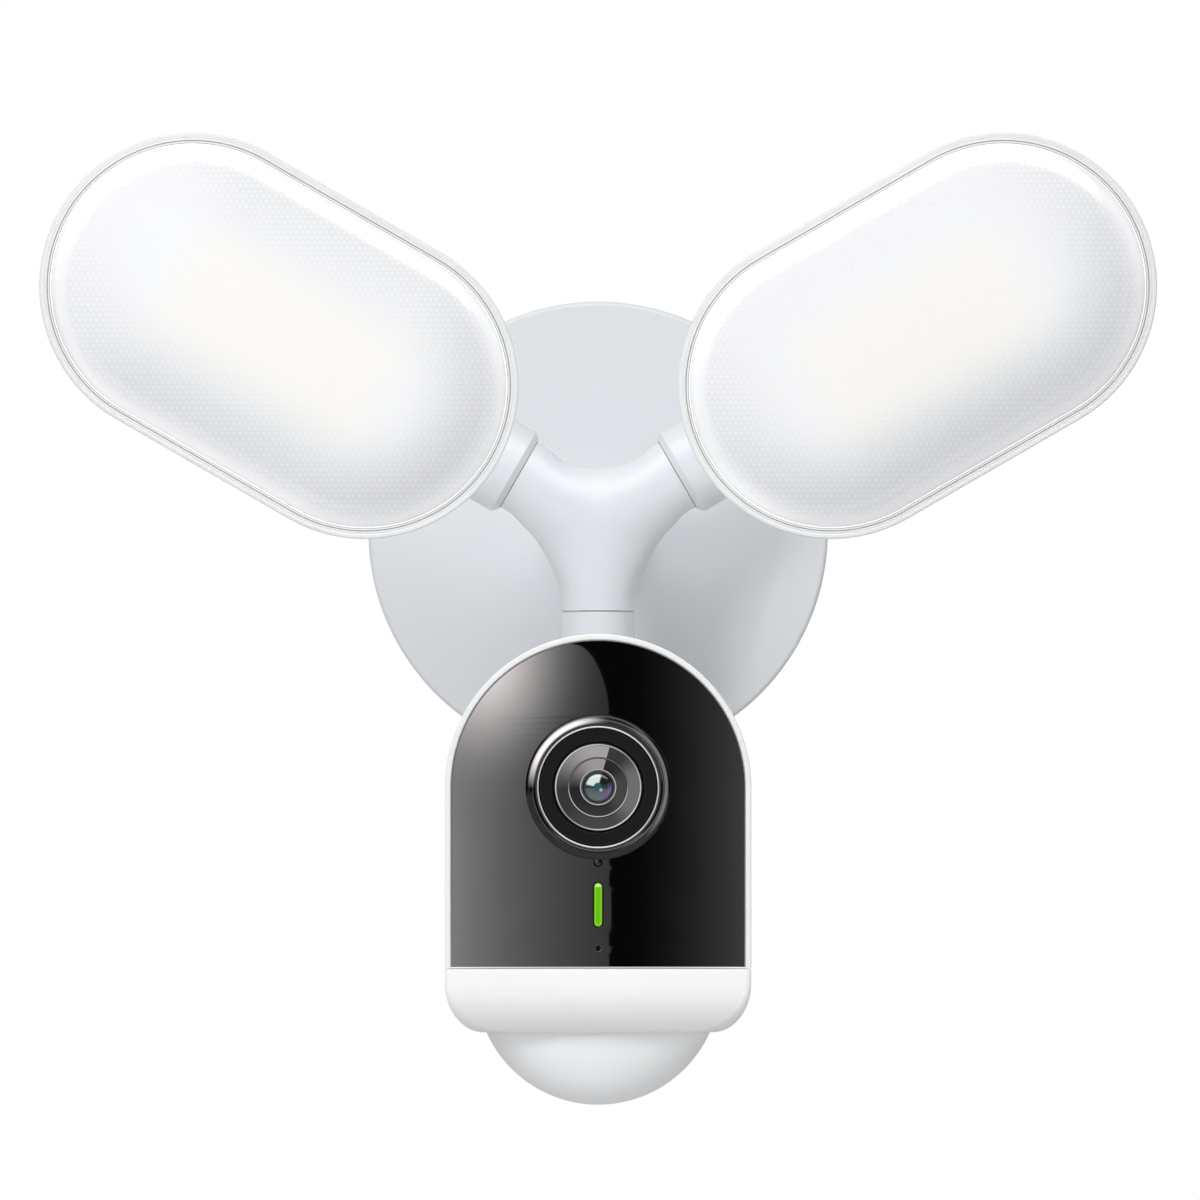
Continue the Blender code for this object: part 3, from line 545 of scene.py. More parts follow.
class Graph:
    """A node tree being written. Its object coordinates are in millimetres."""

    def __init__(self, tree):
        self.tree = tree
        coords = self.add("TexCoord", output="Object")
        self.place = self.add("VectorMath", {0: coords, "Scale": 1 / MM}, operation="SCALE")

    def add(self, kind, inputs=(), output=0, **settings):
        node = self.tree.nodes.new("ShaderNode" + kind)
        for key, value in settings.items():
            setattr(node, key, value)
        for key, value in dict(inputs).items():
            self.feed(node.inputs[key], value)
        return Term(self, node.outputs[output])

    def feed(self, socket, value):
        if isinstance(value, Term):
            self.tree.links.new(value.socket, socket)
        elif isinstance(value, tuple) and socket.type == "RGBA":
            socket.default_value = (*value, 1.0)
        else:
            socket.default_value = value

    def math(self, operation, *values):
        return self.add("Math", dict(enumerate(values)), operation=operation)

    def xyz(self, vector=None):
        split = self.tree.nodes.new("ShaderNodeSeparateXYZ")
        self.feed(split.inputs[0], vector or self.place)
        return [Term(self, socket) for socket in split.outputs]

    def vector(self, x, y, z):
        return self.add("CombineXYZ", {0: x, 1: y, 2: z})

    def stretched(self, x, y, z):
        return self.add("VectorMath", {0: self.place, 1: (x, y, z)}, operation="MULTIPLY")

    def length(self, *parts):
        return self.add("VectorMath", {0: self.vector(*parts)}, output="Value", operation="LENGTH")

    def noise(self, per_mm, detail=2.0, vector=None):
        fields = {"Vector": vector or self.place, "Scale": per_mm, "Detail": detail, "Roughness": 0.55}
        return self.add("TexNoise", fields)

    def cells(self, per_mm, output="Distance", vector=None, **settings):
        return self.add("TexVoronoi", {"Vector": vector or self.place, "Scale": per_mm}, output, **settings)

    def smooth(self, value, start, end, low=0.0, high=1.0):
        fields = {"Value": value, "From Min": start, "From Max": end, "To Min": low, "To Max": high}
        return self.add("MapRange", fields, interpolation_type="SMOOTHSTEP")

    def blend(self, factor, first, second):
        return self.add("Mix", {0: factor, 6: first, 7: second}, output=2, data_type="RGBA")

    def tint(self, colour, factor):
        return self.add("VectorMath", {0: colour, "Scale": factor}, operation="SCALE")

    def from_world(self, x, y, z):
        """A world direction in the object's own axes."""
        spaces = {"convert_from": "WORLD", "convert_to": "OBJECT"}
        return self.add("VectorTransform", {0: (x, y, z)}, vector_type="VECTOR", **spaces)

    def band(self, value, start, end, soft):
        """1 between start and end, with edges as wide as soft."""
        return self.smooth(value, start - soft, start) * self.smooth(value, end + soft, end)

    def polar(self):
        """x and y, the distance from local z and the turn round it in degrees."""
        x, y, _ = self.xyz()
        return x, y, self.length(x, y, 0.0), self.math("ARCTAN2", y, x) * (180 / math.pi)

    def stadium(self):
        """x and y, how far x is beyond a lamp's half line, and the distance from that line."""
        x, y, _ = self.xyz()
        beyond = self.math("MAXIMUM", self.math("ABSOLUTE", x) - HALF_LINE, 0.0) * self.math("SIGN", x)
        return x, y, beyond, self.length(beyond, y, 0.0)

    def worn(self, start=0.53, end=0.6):
        """1 where edges stand out and rub."""
        return self.smooth(self.add("NewGeometry", output="Pointiness"), start, end)

    def bump(self, height, depth, strength=1.0, below=None):
        fields = {"Strength": strength, "Distance": depth * MM, "Height": height}
        if below:
            fields["Normal"] = below
        return self.add("Bump", fields)


def material(fields):
    """A Principled material whose inputs are what fields(graph) returns."""
    made = bpy.data.materials.new("look")
    made.use_nodes = True
    graph = Graph(made.node_tree)
    shader = made.node_tree.nodes["Principled BSDF"]
    for key, value in fields(graph).items():
        graph.feed(shader.inputs[key], value)
    return made


def plastic(colour, roughness, grain=0.012, coat=0.0, painted_glow=0.0, scuffs=0.05):
    """Moulded plastic: a fine spark-eroded grain, a slow drift of tone, paler rubbed edges, faint hairlines.

    Its glow is painted light, given as emission, that brightens the moulding: one strength, or a function of
    the graph.
    """

    def fields(g):
        fine, broad = g.noise(2.6, 3), g.noise(0.03)
        hair = g.smooth(g.noise(0.5, 4, g.stretched(0.3, 1.0, 6.0)), 0.62, 0.7)
        tone = 0.985 + 0.03 * broad + 0.02 * g.worn()
        rough = roughness + 0.14 * (fine - 0.5) + 0.1 * (broad - 0.5) + scuffs * hair
        return {
            "Base Color": g.tint(colour, tone),
            "Roughness": rough,
            "Normal": g.bump(fine, grain),
            "Coat Weight": coat,
            "Coat Roughness": 0.12,
            # Painted light, given as emission
            "Emission Color": (1.0, 1.0, 1.0),
            "Emission Strength": painted_glow(g) if callable(painted_glow) else painted_glow,
        }

    return material(fields)


def tray_painted_glow(g):
    """Painted glow on the tray: brightest under the panel, falling off round its lower edge."""
    return 0.15 * g.smooth(g.xyz()[2], -133.0, -119.5)


def microlens_cover():
    """The lamps' cover: smooth outside, with a hexagonal field of small lenses moulded on its inner face,
    painted shade and highlights on its shoulder and rim, and a faint painted glow.
    """

    def fields(g):
        x, y, beyond, radius = g.stadium()
        # This is 1 where the cover faces lower right, away from the light, and -1 where it faces upper left;
        # it steers the painted shade and highlights that follow.
        painted_shade_side_x, painted_shade_side_y, _ = g.xyz(g.from_world(0.57, 0.0, -0.82))
        painted_shade_side = (beyond * painted_shade_side_x + y * painted_shade_side_y) / g.math("MAXIMUM", radius, 1.0)
        lower = g.smooth(painted_shade_side, -0.4, 0.5)
        pitch, row = 1.6, 1.6 * math.sqrt(0.75)
        nearest = None
        for shift in (0.0, 0.5):
            cell = [
                (g.math("FRACT", x / (2 * row) + shift) - 0.5) * math.sqrt(3),
                g.math("FRACT", y / pitch + shift) - 0.5,
            ]
            distance = g.length(*cell, 0.0)
            nearest = g.math("MINIMUM", nearest, distance) if nearest else distance
        dot = g.smooth(nearest, 0.45, 0.12)
        field = g.smooth(radius - 2.4 * lower, 35.0, 33.4)
        # The chips show through as a warm rectangle, which the rows of lenses break into fine lines.
        across, height = g.math("ABSOLUTE", x), g.math("ABSOLUTE", y)
        warm = g.smooth(across, 38.0, 22.0) * g.smooth(height, 21.0, 8.0)
        warm = warm * (0.8 + 0.4 * g.noise(0.06, 1))
        up_x, up_y, _ = g.xyz(g.from_world(0.0, 0.0, 1.0))
        turn = 2 * math.pi / row
        ends = g.math("SINE", x * turn) * g.band(across, 24.0, 31.0, 5.0) * g.smooth(height, 19.0, 14.0)
        sides = g.math("SINE", y * turn) * g.band(height, 11.0, 15.0, 4.0) * g.smooth(across, 30.0, 22.0)
        level_rows = g.math("SINE", (x * up_x + y * up_y) * turn)
        centre = level_rows * g.smooth(across, 24.0, 14.0) * g.smooth(height, 13.0, 8.0)
        # Away from the middle the tone is painted light and shade: darker where the cover faces lower right,
        # lighter where it faces upper left, most of all near the rim.
        depth = g.smooth(radius, 8.0, 33.0)
        ring = 0.90 - 0.16 * painted_shade_side + 0.09 * g.smooth(radius, 33.0, 37.0) * (1.0 - g.smooth(painted_shade_side, 0.2, 0.9))
        level = depth * ring + (1.0 - depth) * 0.98
        tone = level * (1.0 - (0.02 + 0.06 * depth) * field * (1.0 - dot))
        tone = tone * (1.0 + 0.014 * (ends + sides + centre))
        # A painted highlight round the rim on the side that faces lower right.
        painted_low_edge_highlight = g.smooth(radius, 31.0, 37.5) * lower
        cast = g.blend(warm, (0.985, 0.995, 1.015), (1.02, 1.0, 0.955))
        return {
            "Base Color": g.tint(cast, tone),
            "Roughness": 0.42 + 0.08 * g.noise(1.5, 2),
            "Normal": g.bump(dot * field, 0.03, 0.4),
            "Coat Weight": 1.0,
            "Coat Roughness": 0.03 + 0.03 * g.noise(0.2, 3),
            "Emission Color": cast,
            # A faint painted glow, a little stronger in the middle, and the rim's painted highlight.
            "Emission Strength": 0.06 + 0.05 * (1.0 - depth) + 0.22 * painted_low_edge_highlight,
        }

    return material(fields)


def bezel_white():
    """The lamps' bezel: white, with the shadowed line of its groove and of its inner edge."""

    def fields(g):
        radius = g.stadium()[3]
        shade = 0.6 * g.band(radius, 38.98, 39.16, 0.12) + 0.45 * g.band(radius, 38.3, 38.5, 0.1)
        fine = g.noise(2.6, 3)
        return {
            "Base Color": g.tint((0.9, 0.905, 0.91), (1.0 - shade) * (0.98 + 0.04 * g.noise(0.03))),
            "Roughness": 0.4 + 0.14 * (fine - 0.5),
            "Normal": g.bump(fine, 0.008),
        }

    return material(fields)


def black_panel():
    """Hard-coated black face: a mirror with faint wipe marks, and painted glints, given as emission, on the
    swell round the lens.
    """

    def fields(g):
        _, _, radius, turn = g.polar()
        # Painted highlights on the swell, given as emission: a bright arc at the upper left and a faint one at
        # the right.
        painted_bright_glint = g.band(radius, 17.6, 18.3, 0.7) * g.band(turn, 114.0, 150.0, 34.0)
        painted_faint_glint = g.band(radius, 18.05, 18.45, 0.5) * g.band(turn, -22.0, 40.0, 28.0)
        wipe = g.smooth(g.noise(0.25, 5, g.stretched(0.5, 2.0, 1.0)), 0.55, 0.75)
        dust = g.smooth(g.cells(0.8), 0.06, 0.03)
        return {
            "Base Color": g.blend(dust, (0.0022, 0.0022, 0.0024), (0.006, 0.006, 0.006)),
            "Roughness": 0.015 + 0.03 * wipe,
            "IOR": 1.5,
            "Normal": g.bump(g.noise(0.02), 0.0015),
            "Emission Color": (1.0, 0.95, 0.94),
            "Emission Strength": 1.0 * painted_bright_glint + 0.16 * painted_faint_glint,
        }

    return material(fields)


def satin_black(colour, roughness, turned=0.0):
    """Black moulded parts; turned adds fine concentric lines round local z."""

    def fields(g):
        fine = g.noise(3.0, 3)
        rings = g.math("SINE", g.polar()[2] * (2 * math.pi / 0.22))
        height = fine + turned * rings
        return {
            "Base Color": g.tint(colour, 0.85 + 0.3 * g.noise(0.15) + 0.8 * g.worn(0.54, 0.64)),
            "Roughness": roughness + 0.12 * (fine - 0.5),
            "Normal": g.bump(height, 0.006),
            "Specular IOR Level": 0.3,
        }

    return material(fields)


def metal(colour, roughness, stretch, bump=0.004, painted_sheen=0.0):
    """Plated or polished metal with drawn lines along one direction and duller, spotted patches, and a painted
    sheen given as emission.
    """

    def fields(g):
        lines = g.noise(2.2, 3, g.stretched(*stretch))
        patch = g.xyz(g.cells(0.35, output="Color"))[0]
        stain = g.smooth(g.noise(0.09, 4), 0.5, 0.75)
        return {
            "Base Color": g.tint(colour, 0.88 + 0.1 * patch + 0.08 * lines - 0.12 * stain + 0.1 * g.worn()),
            "Metallic": 1.0,
            "Roughness": roughness + 0.12 * (lines - 0.5) + 0.06 * patch + 0.15 * stain,
            "Normal": g.bump(lines, bump),
            "Emission Color": (1.0, 1.0, 1.0),
            "Emission Strength": painted_sheen,
        }

    return material(fields)


def rubber(colour):
    """Soft moulded rubber, with a pale bloom in patches."""

    def fields(g):
        fine = g.noise(1.6, 4)
        bloom = g.smooth(g.noise(0.08, 3), 0.45, 0.8)
        return {
            "Base Color": g.tint(colour, 0.85 + 0.25 * fine + 0.5 * bloom),
            "Roughness": 0.62 + 0.2 * fine,
            "Normal": g.bump(fine, 0.03),
        }

    return material(fields)


def circuit_board(colour, copper):
    """Solder mask over tracks, with bare pads and drilled, plated holes."""

    def fields(g):
        tracks = g.cells(0.22, feature="DISTANCE_TO_EDGE", distance="MANHATTAN")
        track = g.smooth(tracks, 0.1, 0.06)
        holes = g.cells(0.3)
        pad, hole = g.smooth(holes, 0.14, 0.12), g.smooth(holes, 0.07, 0.05)
        base = g.blend(track, colour, tuple(min(1.0, 1.6 * c + 0.01) for c in colour))
        base = g.blend(pad, base, copper)
        return {
            "Base Color": g.blend(hole, base, (0.01, 0.01, 0.01)),
            "Metallic": pad * 0.8,
            "Roughness": 0.38 + 0.15 * g.noise(1.0, 2),
            "Normal": g.bump(track + pad - hole, 0.03),
        }

    return material(fields)


def milky_dome():
    """The motion sensor's thin polyethylene window, with its facet pattern just showing from inside and a
    painted glow.
    """

    def fields(g):
        x, y, z = g.xyz()
        facets = g.math("SINE", z * (2 * math.pi / 2.6)) * g.math("SINE", g.math("ARCTAN2", y, x) * 36.0)
        # Painted glow, given as emission: strongest face on and away from the tray's rim, so the dome's edges
        # and its top read darker.
        facing = g.smooth(g.add("LayerWeight", {"Blend": 0.5}, output="Facing"), 0.75, 0.1)
        below_rim = g.smooth(z, TRAY_BOTTOM + 0.5, TRAY_BOTTOM - 5.5)
        fine = g.noise(2.0, 2)
        return {
            "Base Color": g.tint((0.80, 0.815, 0.83), 0.985 + 0.02 * g.noise(0.05) + 0.004 * facets),
            "Roughness": 0.4 + 0.1 * fine,
            "Normal": g.bump(fine + 0.1 * facets, 0.012),
            "Coat Weight": 0.25,
            "Coat Roughness": 0.15,
            "Emission Color": (0.97, 0.99, 1.0),
            "Emission Strength": 0.1 + 0.22 * facing * below_rim,
        }

    return material(fields)


def lens_tube():
    """The lens's blackened cones, with the studio's reflection painted on as sectors, bright upper left and
    faint right, and painted highlight lines on its edges.
    """

    def fields(g):
        _, y, radius, turn = g.polar()
        # Painted reflection, given as emission: sectors lit at the upper left and faintly at the right.
        lit = g.math("GREATER_THAN", turn, 74.0) * g.smooth(turn, 190.0, 96.0)
        side = g.band(turn, -28.0, 14.0, 40.0)
        outer, inner = g.band(radius, 8.15, 11.05, 0.1), g.band(radius, 4.95, 7.55, 0.15)
        level = outer * (0.34 * lit + 0.115 * side + 0.025) + inner * (0.31 * lit + 0.035 * side + 0.012)
        # Painted highlight lines on the lip, the step and the seat.
        facing = g.math("ABSOLUTE", g.math("COSINE", (turn - 135.0) * (math.pi / 180)))
        lip = g.band(radius, 11.22, 11.5, 0.06) * (0.25 + 0.4 * facing)
        step = g.band(radius, 7.8, 8.0, 0.06) * (0.12 + 0.35 * g.smooth(y, 2.0, -3.0))
        seat = g.band(radius, 4.62, 4.82, 0.05) * 0.5
        lines = 1.0 + 0.08 * g.math("SINE", radius * (2 * math.pi / 0.3)) * outer
        warm = g.blend(lit, (1.0, 1.0, 1.0), (1.0, 0.93, 0.93))
        fine = g.noise(3.0, 3)
        return {
            "Base Color": g.tint((0.012, 0.012, 0.012), 0.8 + 0.4 * fine),
            "Roughness": 0.4 + 0.1 * fine,
            "Specular IOR Level": 0.2,
            "Normal": g.bump(fine, 0.004),
            "Emission Color": warm,
            "Emission Strength": level * lines + lip + step + seat,
        }

    return material(fields)


def coated_glass():
    """A small lens element over a dark bore, with painted reflections in patches, the coatings' violet among
    them, given as emission.
    """

    def fields(g):
        x, y, radius, turn = g.polar()
        # Every colour here is painted: lighter towards the bottom, a teal middle, reflections in patches and a
        # spark.
        body = g.blend(g.smooth(y, -3.5, 0.5), (0.07, 0.10, 0.10), (0.02, 0.035, 0.04))
        body = g.blend(g.smooth(radius, 1.5, 0.6), body, (0.02, 0.10, 0.11))
        painted_sky_reflection = g.band(radius, 1.4, 3.1, 0.4) * g.band(turn, 82.0, 160.0, 14.0)
        body = g.blend(painted_sky_reflection, body, (0.70, 0.80, 0.77))
        painted_dark_reflection = g.band(radius, 1.4, 4.0, 0.4) * g.band(turn, 28.0, 66.0, 14.0)
        body = g.blend(painted_dark_reflection, body, (0.004, 0.005, 0.006))
        painted_violet_reflection = g.band(radius, 2.8, 3.5, 0.3) * g.band(turn, -64.0, 0.0, 18.0)
        body = g.blend(painted_violet_reflection, body, (0.11, 0.055, 0.19))
        painted_spark = g.length(x - 0.75, y + 0.75, 0.0)
        body = g.blend(g.smooth(painted_spark, 0.6, 0.2), body, (0.6, 0.36, 0.48))
        fade = g.smooth(radius, 4.0, 3.7)
        return {
            "Base Color": (0.01, 0.012, 0.014),
            "Roughness": 0.02 + 0.02 * g.noise(0.8),
            "Coat Weight": 1.0,
            "Coat Roughness": 0.01,
            "Emission Color": body,
            "Emission Strength": 0.02 + 0.98 * fade,
        }

    return material(fields)


def window_glass():
    """Dark filter glass of the small sensor window and of the rear elements, with a painted glint at the upper
    left.
    """

    def fields(g):
        x, y, _ = g.xyz()
        # A painted glint at the upper left, given as colour and emission.
        painted_glint = g.smooth(g.length(x + 0.45, y - 0.45, 0.0), 0.7, 0.3)
        return {
            "Base Color": g.blend(painted_glint, (0.012, 0.014, 0.018), (0.05, 0.052, 0.055)),
            "Roughness": 0.05 + 0.05 * g.noise(0.8),
            "Coat Weight": 0.5,
            "Emission Color": (0.9, 0.95, 1.0),
            "Emission Strength": 0.06 * painted_glint,
        }

    return material(fields)


def lit_bar():
    """The status light: a clear bar lit green from behind, with a dark edge and a painted highlight near its
    upper end.
    """

    def fields(g):
        x, y, _ = g.xyz()
        up = y - LIGHT_Z
        beyond = g.math("MAXIMUM", g.math("ABSOLUTE", up) - LIGHT_HALF_LINE, 0.0)
        off = g.length(x, beyond, 0.0)
        colour = g.blend(g.smooth(off, 0.35, 0.85), (0.12, 0.50, 0.0), (0.24, 0.57, 0.02))
        # A painted highlight near the bar's upper end.
        colour = g.blend(g.band(up, 5.0, 5.5, 0.4) * g.smooth(off, 0.95, 0.7), colour, (0.6, 0.87, 0.32))
        colour = g.blend(g.smooth(off, 0.93, 1.06), colour, (0.012, 0.045, 0.004))
        grains = g.noise(1.2, 2)
        return {
            "Base Color": (0.01, 0.03, 0.005),
            "Roughness": 0.18 + 0.1 * grains,
            "Emission Color": colour,
            "Emission Strength": 0.95 + 0.1 * grains,
        }

    return material(fields)


# One look for each of the record's material slots, and looks for single nodes that need their own
LOOKS = {
    "canopy_white": plastic((0.80, 0.82, 0.847), 0.46, 0.02),
    "arm_white": plastic((0.825, 0.855, 0.89), 0.36, 0.008, coat=0.2),
    "lamp_white": plastic((0.88, 0.885, 0.89), 0.4, 0.012),
    # The head casing and the tray carry a painted glow.
    "head_white": plastic((0.93, 0.935, 0.94), 0.33, 0.008, coat=0.25, painted_glow=0.07),
    "tray_white": plastic((0.95, 0.952, 0.955), 0.3, 0.006, coat=0.3, painted_glow=tray_painted_glow),
    "microlens_cover": microlens_cover(),
    "black_panel": black_panel(),
    "black_frame": satin_black((0.022, 0.022, 0.024), 0.5),
    "lens_black": satin_black((0.009, 0.009, 0.009), 0.36, turned=0.4),
    # The bright ring carries a painted sheen.
    "bright_ring": metal((0.62, 0.62, 0.62), 0.3, (1, 1, 6), painted_sheen=0.34),
    "dome_milky": milky_dome(),
    "screw_steel": metal((0.62, 0.61, 0.58), 0.3, (1, 1, 8)),
    "bracket_steel": metal((0.58, 0.59, 0.6), 0.36, (0.2, 4, 4), 0.008),
    "seal_rubber": rubber((0.05, 0.05, 0.052)),
    "bearing_nylon": plastic((0.70, 0.69, 0.64), 0.5, 0.015),
    "board_green": circuit_board((0.02, 0.13, 0.05), (0.75, 0.5, 0.25)),
    "board_white": circuit_board((0.8, 0.8, 0.78), (0.75, 0.72, 0.6)),
    "cable_black": rubber((0.03, 0.03, 0.032)),
    "lens_glass": coated_glass(),
    "green_light": lit_bar(),
    "reflector_white": plastic((0.9, 0.9, 0.9), 0.2, 0.004, coat=0.4),
}
SPECIAL = {
    "lens_barrel": lens_tube(),
    "light_sensor_window": window_glass(),
    "rear_lens": window_glass(),
    "left_lamp_bezel": bezel_white(),
    "right_lamp_bezel": bezel_white(),
}
for title, look in [*LOOKS.items(), *SPECIAL.items()]:
    look.name = title


# ---------------------------------------------------------------- wall canopy


def base_canopy():
    """A shallow round cover with a softly domed face, a hole for the trunk and a screw pocket on each side."""
    r, top, wall, corner = CANOPY_R, CANOPY_H, 2.8, 1.3
    shoulder, hole, rim, crown_r = top - 1.5, TRUNK_HOLE_R, 1.8, 26
    outer = arc((r - corner, shoulder - corner), corner, 0, 86, 8)
    inside = shoulder - wall
    shares = [1 - i / 14 for i in range(15)]
    face = [(crown_r + (r - corner - crown_r) * share, top - 0.1 - 1.4 * share**2) for share in shares]
    outline = [(r - 0.5, rim), (r - 0.1, rim + 0.15), (r, rim + 0.5), *outer, *face[1:], (hole + 0.5, top)]
    outline += [(hole, top - 0.5), (hole, top - wall), (32, inside + 0.9)]
    outline += [(r - wall - 2, inside), (r - wall, inside - 2), (r - wall, rim)]
    canopy = lathe("canopy", outline, facing_front(0, 0, 0), 192)
    cutters = []
    for sign in (-1, 1):
        side = along_x(0, -SIDE_SCREW_H, 0, sign)
        pocket = rounded([(0, 60.4), (4.2, 60.4, 0.3), (4.2, 61.6), (4.7, 62.2), (4.7, 66), (0, 66)])
        cutters += [lathe("pocket", pocket, side, 48), rod(2.2, 54, 61, side, 32)]
    put(carve(canopy, *cutters), "base_canopy")
    for sign, side in ((-1, "left"), (1, "right")):
        screw(f"canopy_screw_{side}", along_x(0, -SIDE_SCREW_H, 0, sign), 3.8, 0.9, 1.3, 9.5, 60.7)


def base_gasket():
    """Foam seal between the canopy and the wall, with two moulded ribs."""
    outline = [(61.4, 0), (61.4, 1.4), (60.6, 1.5), (60.0, 1.1)]
    outline += [(58.4, 1.1), (57.8, 1.5), (56.6, 1.5), (56.4, 0)]
    put(lathe("gasket", outline, facing_front(0, 0, 0)), "base_gasket")


def led_driver():
    """Potted driver: a ribbed case with a stepped lid and a shallow recess in the lid."""
    lo, hi = low("led_driver"), high("led_driver")
    rib_y = lo.y + (hi.y - lo.y) * 0.25
    body = block("driver", (lo.x, lo.y, lo.z), (hi.x, hi.y - 2.2, hi.z), edge=1.2)
    lid = block("lid", (lo.x + 1, hi.y - 3, lo.z + 1), (hi.x - 1, hi.y, hi.z - 1), edge=0.8)
    ribs = [
        block("rib", (lo.x + x, rib_y, lo.z), (lo.x + x + 1.4, hi.y - 3.5, hi.z), edge=0.2)
        for x in (8, 16, 24, 32, 40)
    ]
    panel = block("window", (lo.x + 7, hi.y - 0.5, lo.z + 6), (hi.x - 7, hi.y + 1, hi.z - 6), edge=0)
    grow(body, lid, *ribs)
    put(carve(body, panel), "led_driver")


def terminal_block():
    """Three-way terminal block: wire entries on top, a clamp screw behind each and a step along its front."""
    lo, hi = low("terminal_block"), high("terminal_block")
    body = block("terminals", tuple(lo), tuple(hi), edge=0.6)
    cutters = []
    for x in TERMINALS:
        entry = [(0, 36), (2.6, 36), (2.6, 42.4), (3.4, 44), (0, 44)]
        cutters.append(lathe("entry", entry, at(x, -13, 0), 32))
        cutters.append(rod(2.7, 3, 10.5, facing_front(x, 0, TERMINAL_Z), 32))
        start, end = (x + 5.2, hi.y - 1.4, lo.z - 1), (x + 5.8, hi.y + 1, hi.z + 1)
        cutters.append(block("groove", start, end, edge=0))
    put(carve(body, *cutters), "terminal_block")
    for index, x in enumerate(TERMINALS):
        head = rounded([(0, -8), (2.4, -8, 0.2), (2.4, -10), (0, -10)])
        place = facing_back(x, 0, TERMINAL_Z)
        clamp = lathe("clamp", head, place, 40)
        carve(clamp, block("slot", (-3, -0.35, -8.8), (3, 0.35, -7), place, edge=0))
        put_extra(clamp, f"terminal_screw_{index}", "terminal_block", "screw_steel")


def supply_cable():
    """Round sheathed cable on the CAD's path: from the terminals, round a bend and forward into the trunk."""
    curve = bpy.data.curves.new("cable", "CURVE")
    curve.dimensions = "3D"
    curve.bevel_depth = 2.35 * MM
    curve.bevel_resolution = 6
    curve.use_fill_caps = True
    bends = [math.radians(3 * i) for i in range(31)]
    path = [(0, -12 - 14 * (1 - math.cos(a)), 27 - 27 * math.sin(a)) for a in bends]
    path += [(0, -26 - 38 * i / 12, 0) for i in range(1, 13)]
    put(add_object("cable", curve_mesh(curve, [path])), "supply_cable")


def base_pieces():
    base_canopy()
    base_gasket()
    led_driver()
    terminal_block()
    supply_cable()
    hex_nut("trunk_nut", 29.0, TRUNK_HOLE_R, 27.0, 32.2, facing_front(0, 0, 0))
    dress("wall_bracket", 0.3)


# ---------------------------------------------------------------- three-way arm


def arm_point(angle, side, t, swing, leg_end):
    """A point on one half of the arm, in mm from the hub: u along the leg, w across it, and the height.

    t runs from 0 where the tube starts to 1 at the waist between two legs, and down to -1 at the leg's end.
    swing runs from 0 on the crest to a right angle on the seam.
    """
    tangent = (TUBE_R + TUBE_FILLET) / math.tan(math.radians(60))
    sway = math.sin(swing)
    if t < 0:
        u = tangent + (leg_end - tangent) * -t
        return u, TUBE_R * sway, ARM_EDGE + (TUBE_R - ARM_EDGE) * math.cos(swing)
    turn = math.radians(30) * t
    ease = t * t * (3 - 2 * t)
    soon = min(1.0, t / (0.45 if angle < 180 else 1.0))
    shift = WAIST_SHIFT[round(angle + side * 60) % 360] * soon * soon * (3 - 2 * soon)
    out_u = tangent - TUBE_FILLET * math.sin(turn) + shift * 0.5
    out_w = TUBE_R + TUBE_FILLET * (1 - math.cos(turn)) + shift * math.sqrt(0.75)
    axis_u = tangent * (1 - t) ** 2 * (1 + 1.3 * t)
    crest = TUBE_R + (HUB_CREST - TUBE_R) * ease
    return axis_u + (out_u - axis_u) * sway, out_w * sway, ARM_EDGE + (crest - ARM_EDGE) * math.cos(swing)


def arm_half(name, towards):
    """One half of the arm's skin. towards is -1 for the front half and 1 for the rear one."""
    rows, columns = 22, 18
    steps = [-1.0, -0.66, -0.33] + [i / rows for i in range(rows + 1)]
    swings = [math.pi / 2 * j / columns for j in range(columns + 1)]
    bm = bmesh.new()
    for angle, end in ((30, LAMP_ARM_END), (150, LAMP_ARM_END), (270, LEG_END)):
        along = Vector((math.cos(math.radians(angle)), 0, math.sin(math.radians(angle))))
        for side in (-1, 1):
            across = Vector((-along.z, 0, along.x)) * side
            grid = []
            for t in steps:
                line = [arm_point(angle, side, t, swing, end) for swing in swings]
                line.append((*line[-1][:2], ARM_GAP))
                spots = [HUB + along * u + across * w + Vector((0, towards * h, 0)) for u, w, h in line]
                grid.append([bm.verts.new(spot * MM) for spot in spots])
            for first, second in zip(grid, grid[1:]):
                for j in range(columns + 1):
                    corners = [first[j], first[j + 1], second[j + 1], second[j]]
                    if len({tuple(round(c, 7) for c in v.co) for v in corners}) == 4:
                        bm.faces.new(corners)
    obj = mesh_from(name, bm, Matrix(), merge=2e-6)
    outermost = max(obj.data.polygons, key=lambda face: towards * face.center.y)
    if outermost.normal.y * towards < 0:
        obj.data.flip_normals()
    shell = obj.modifiers.new("Solidify", "SOLIDIFY")
    shell.thickness = ARM_WALL * MM
    shell.offset = -1
    shell.use_even_offset = True
    settle(obj)
    return obj


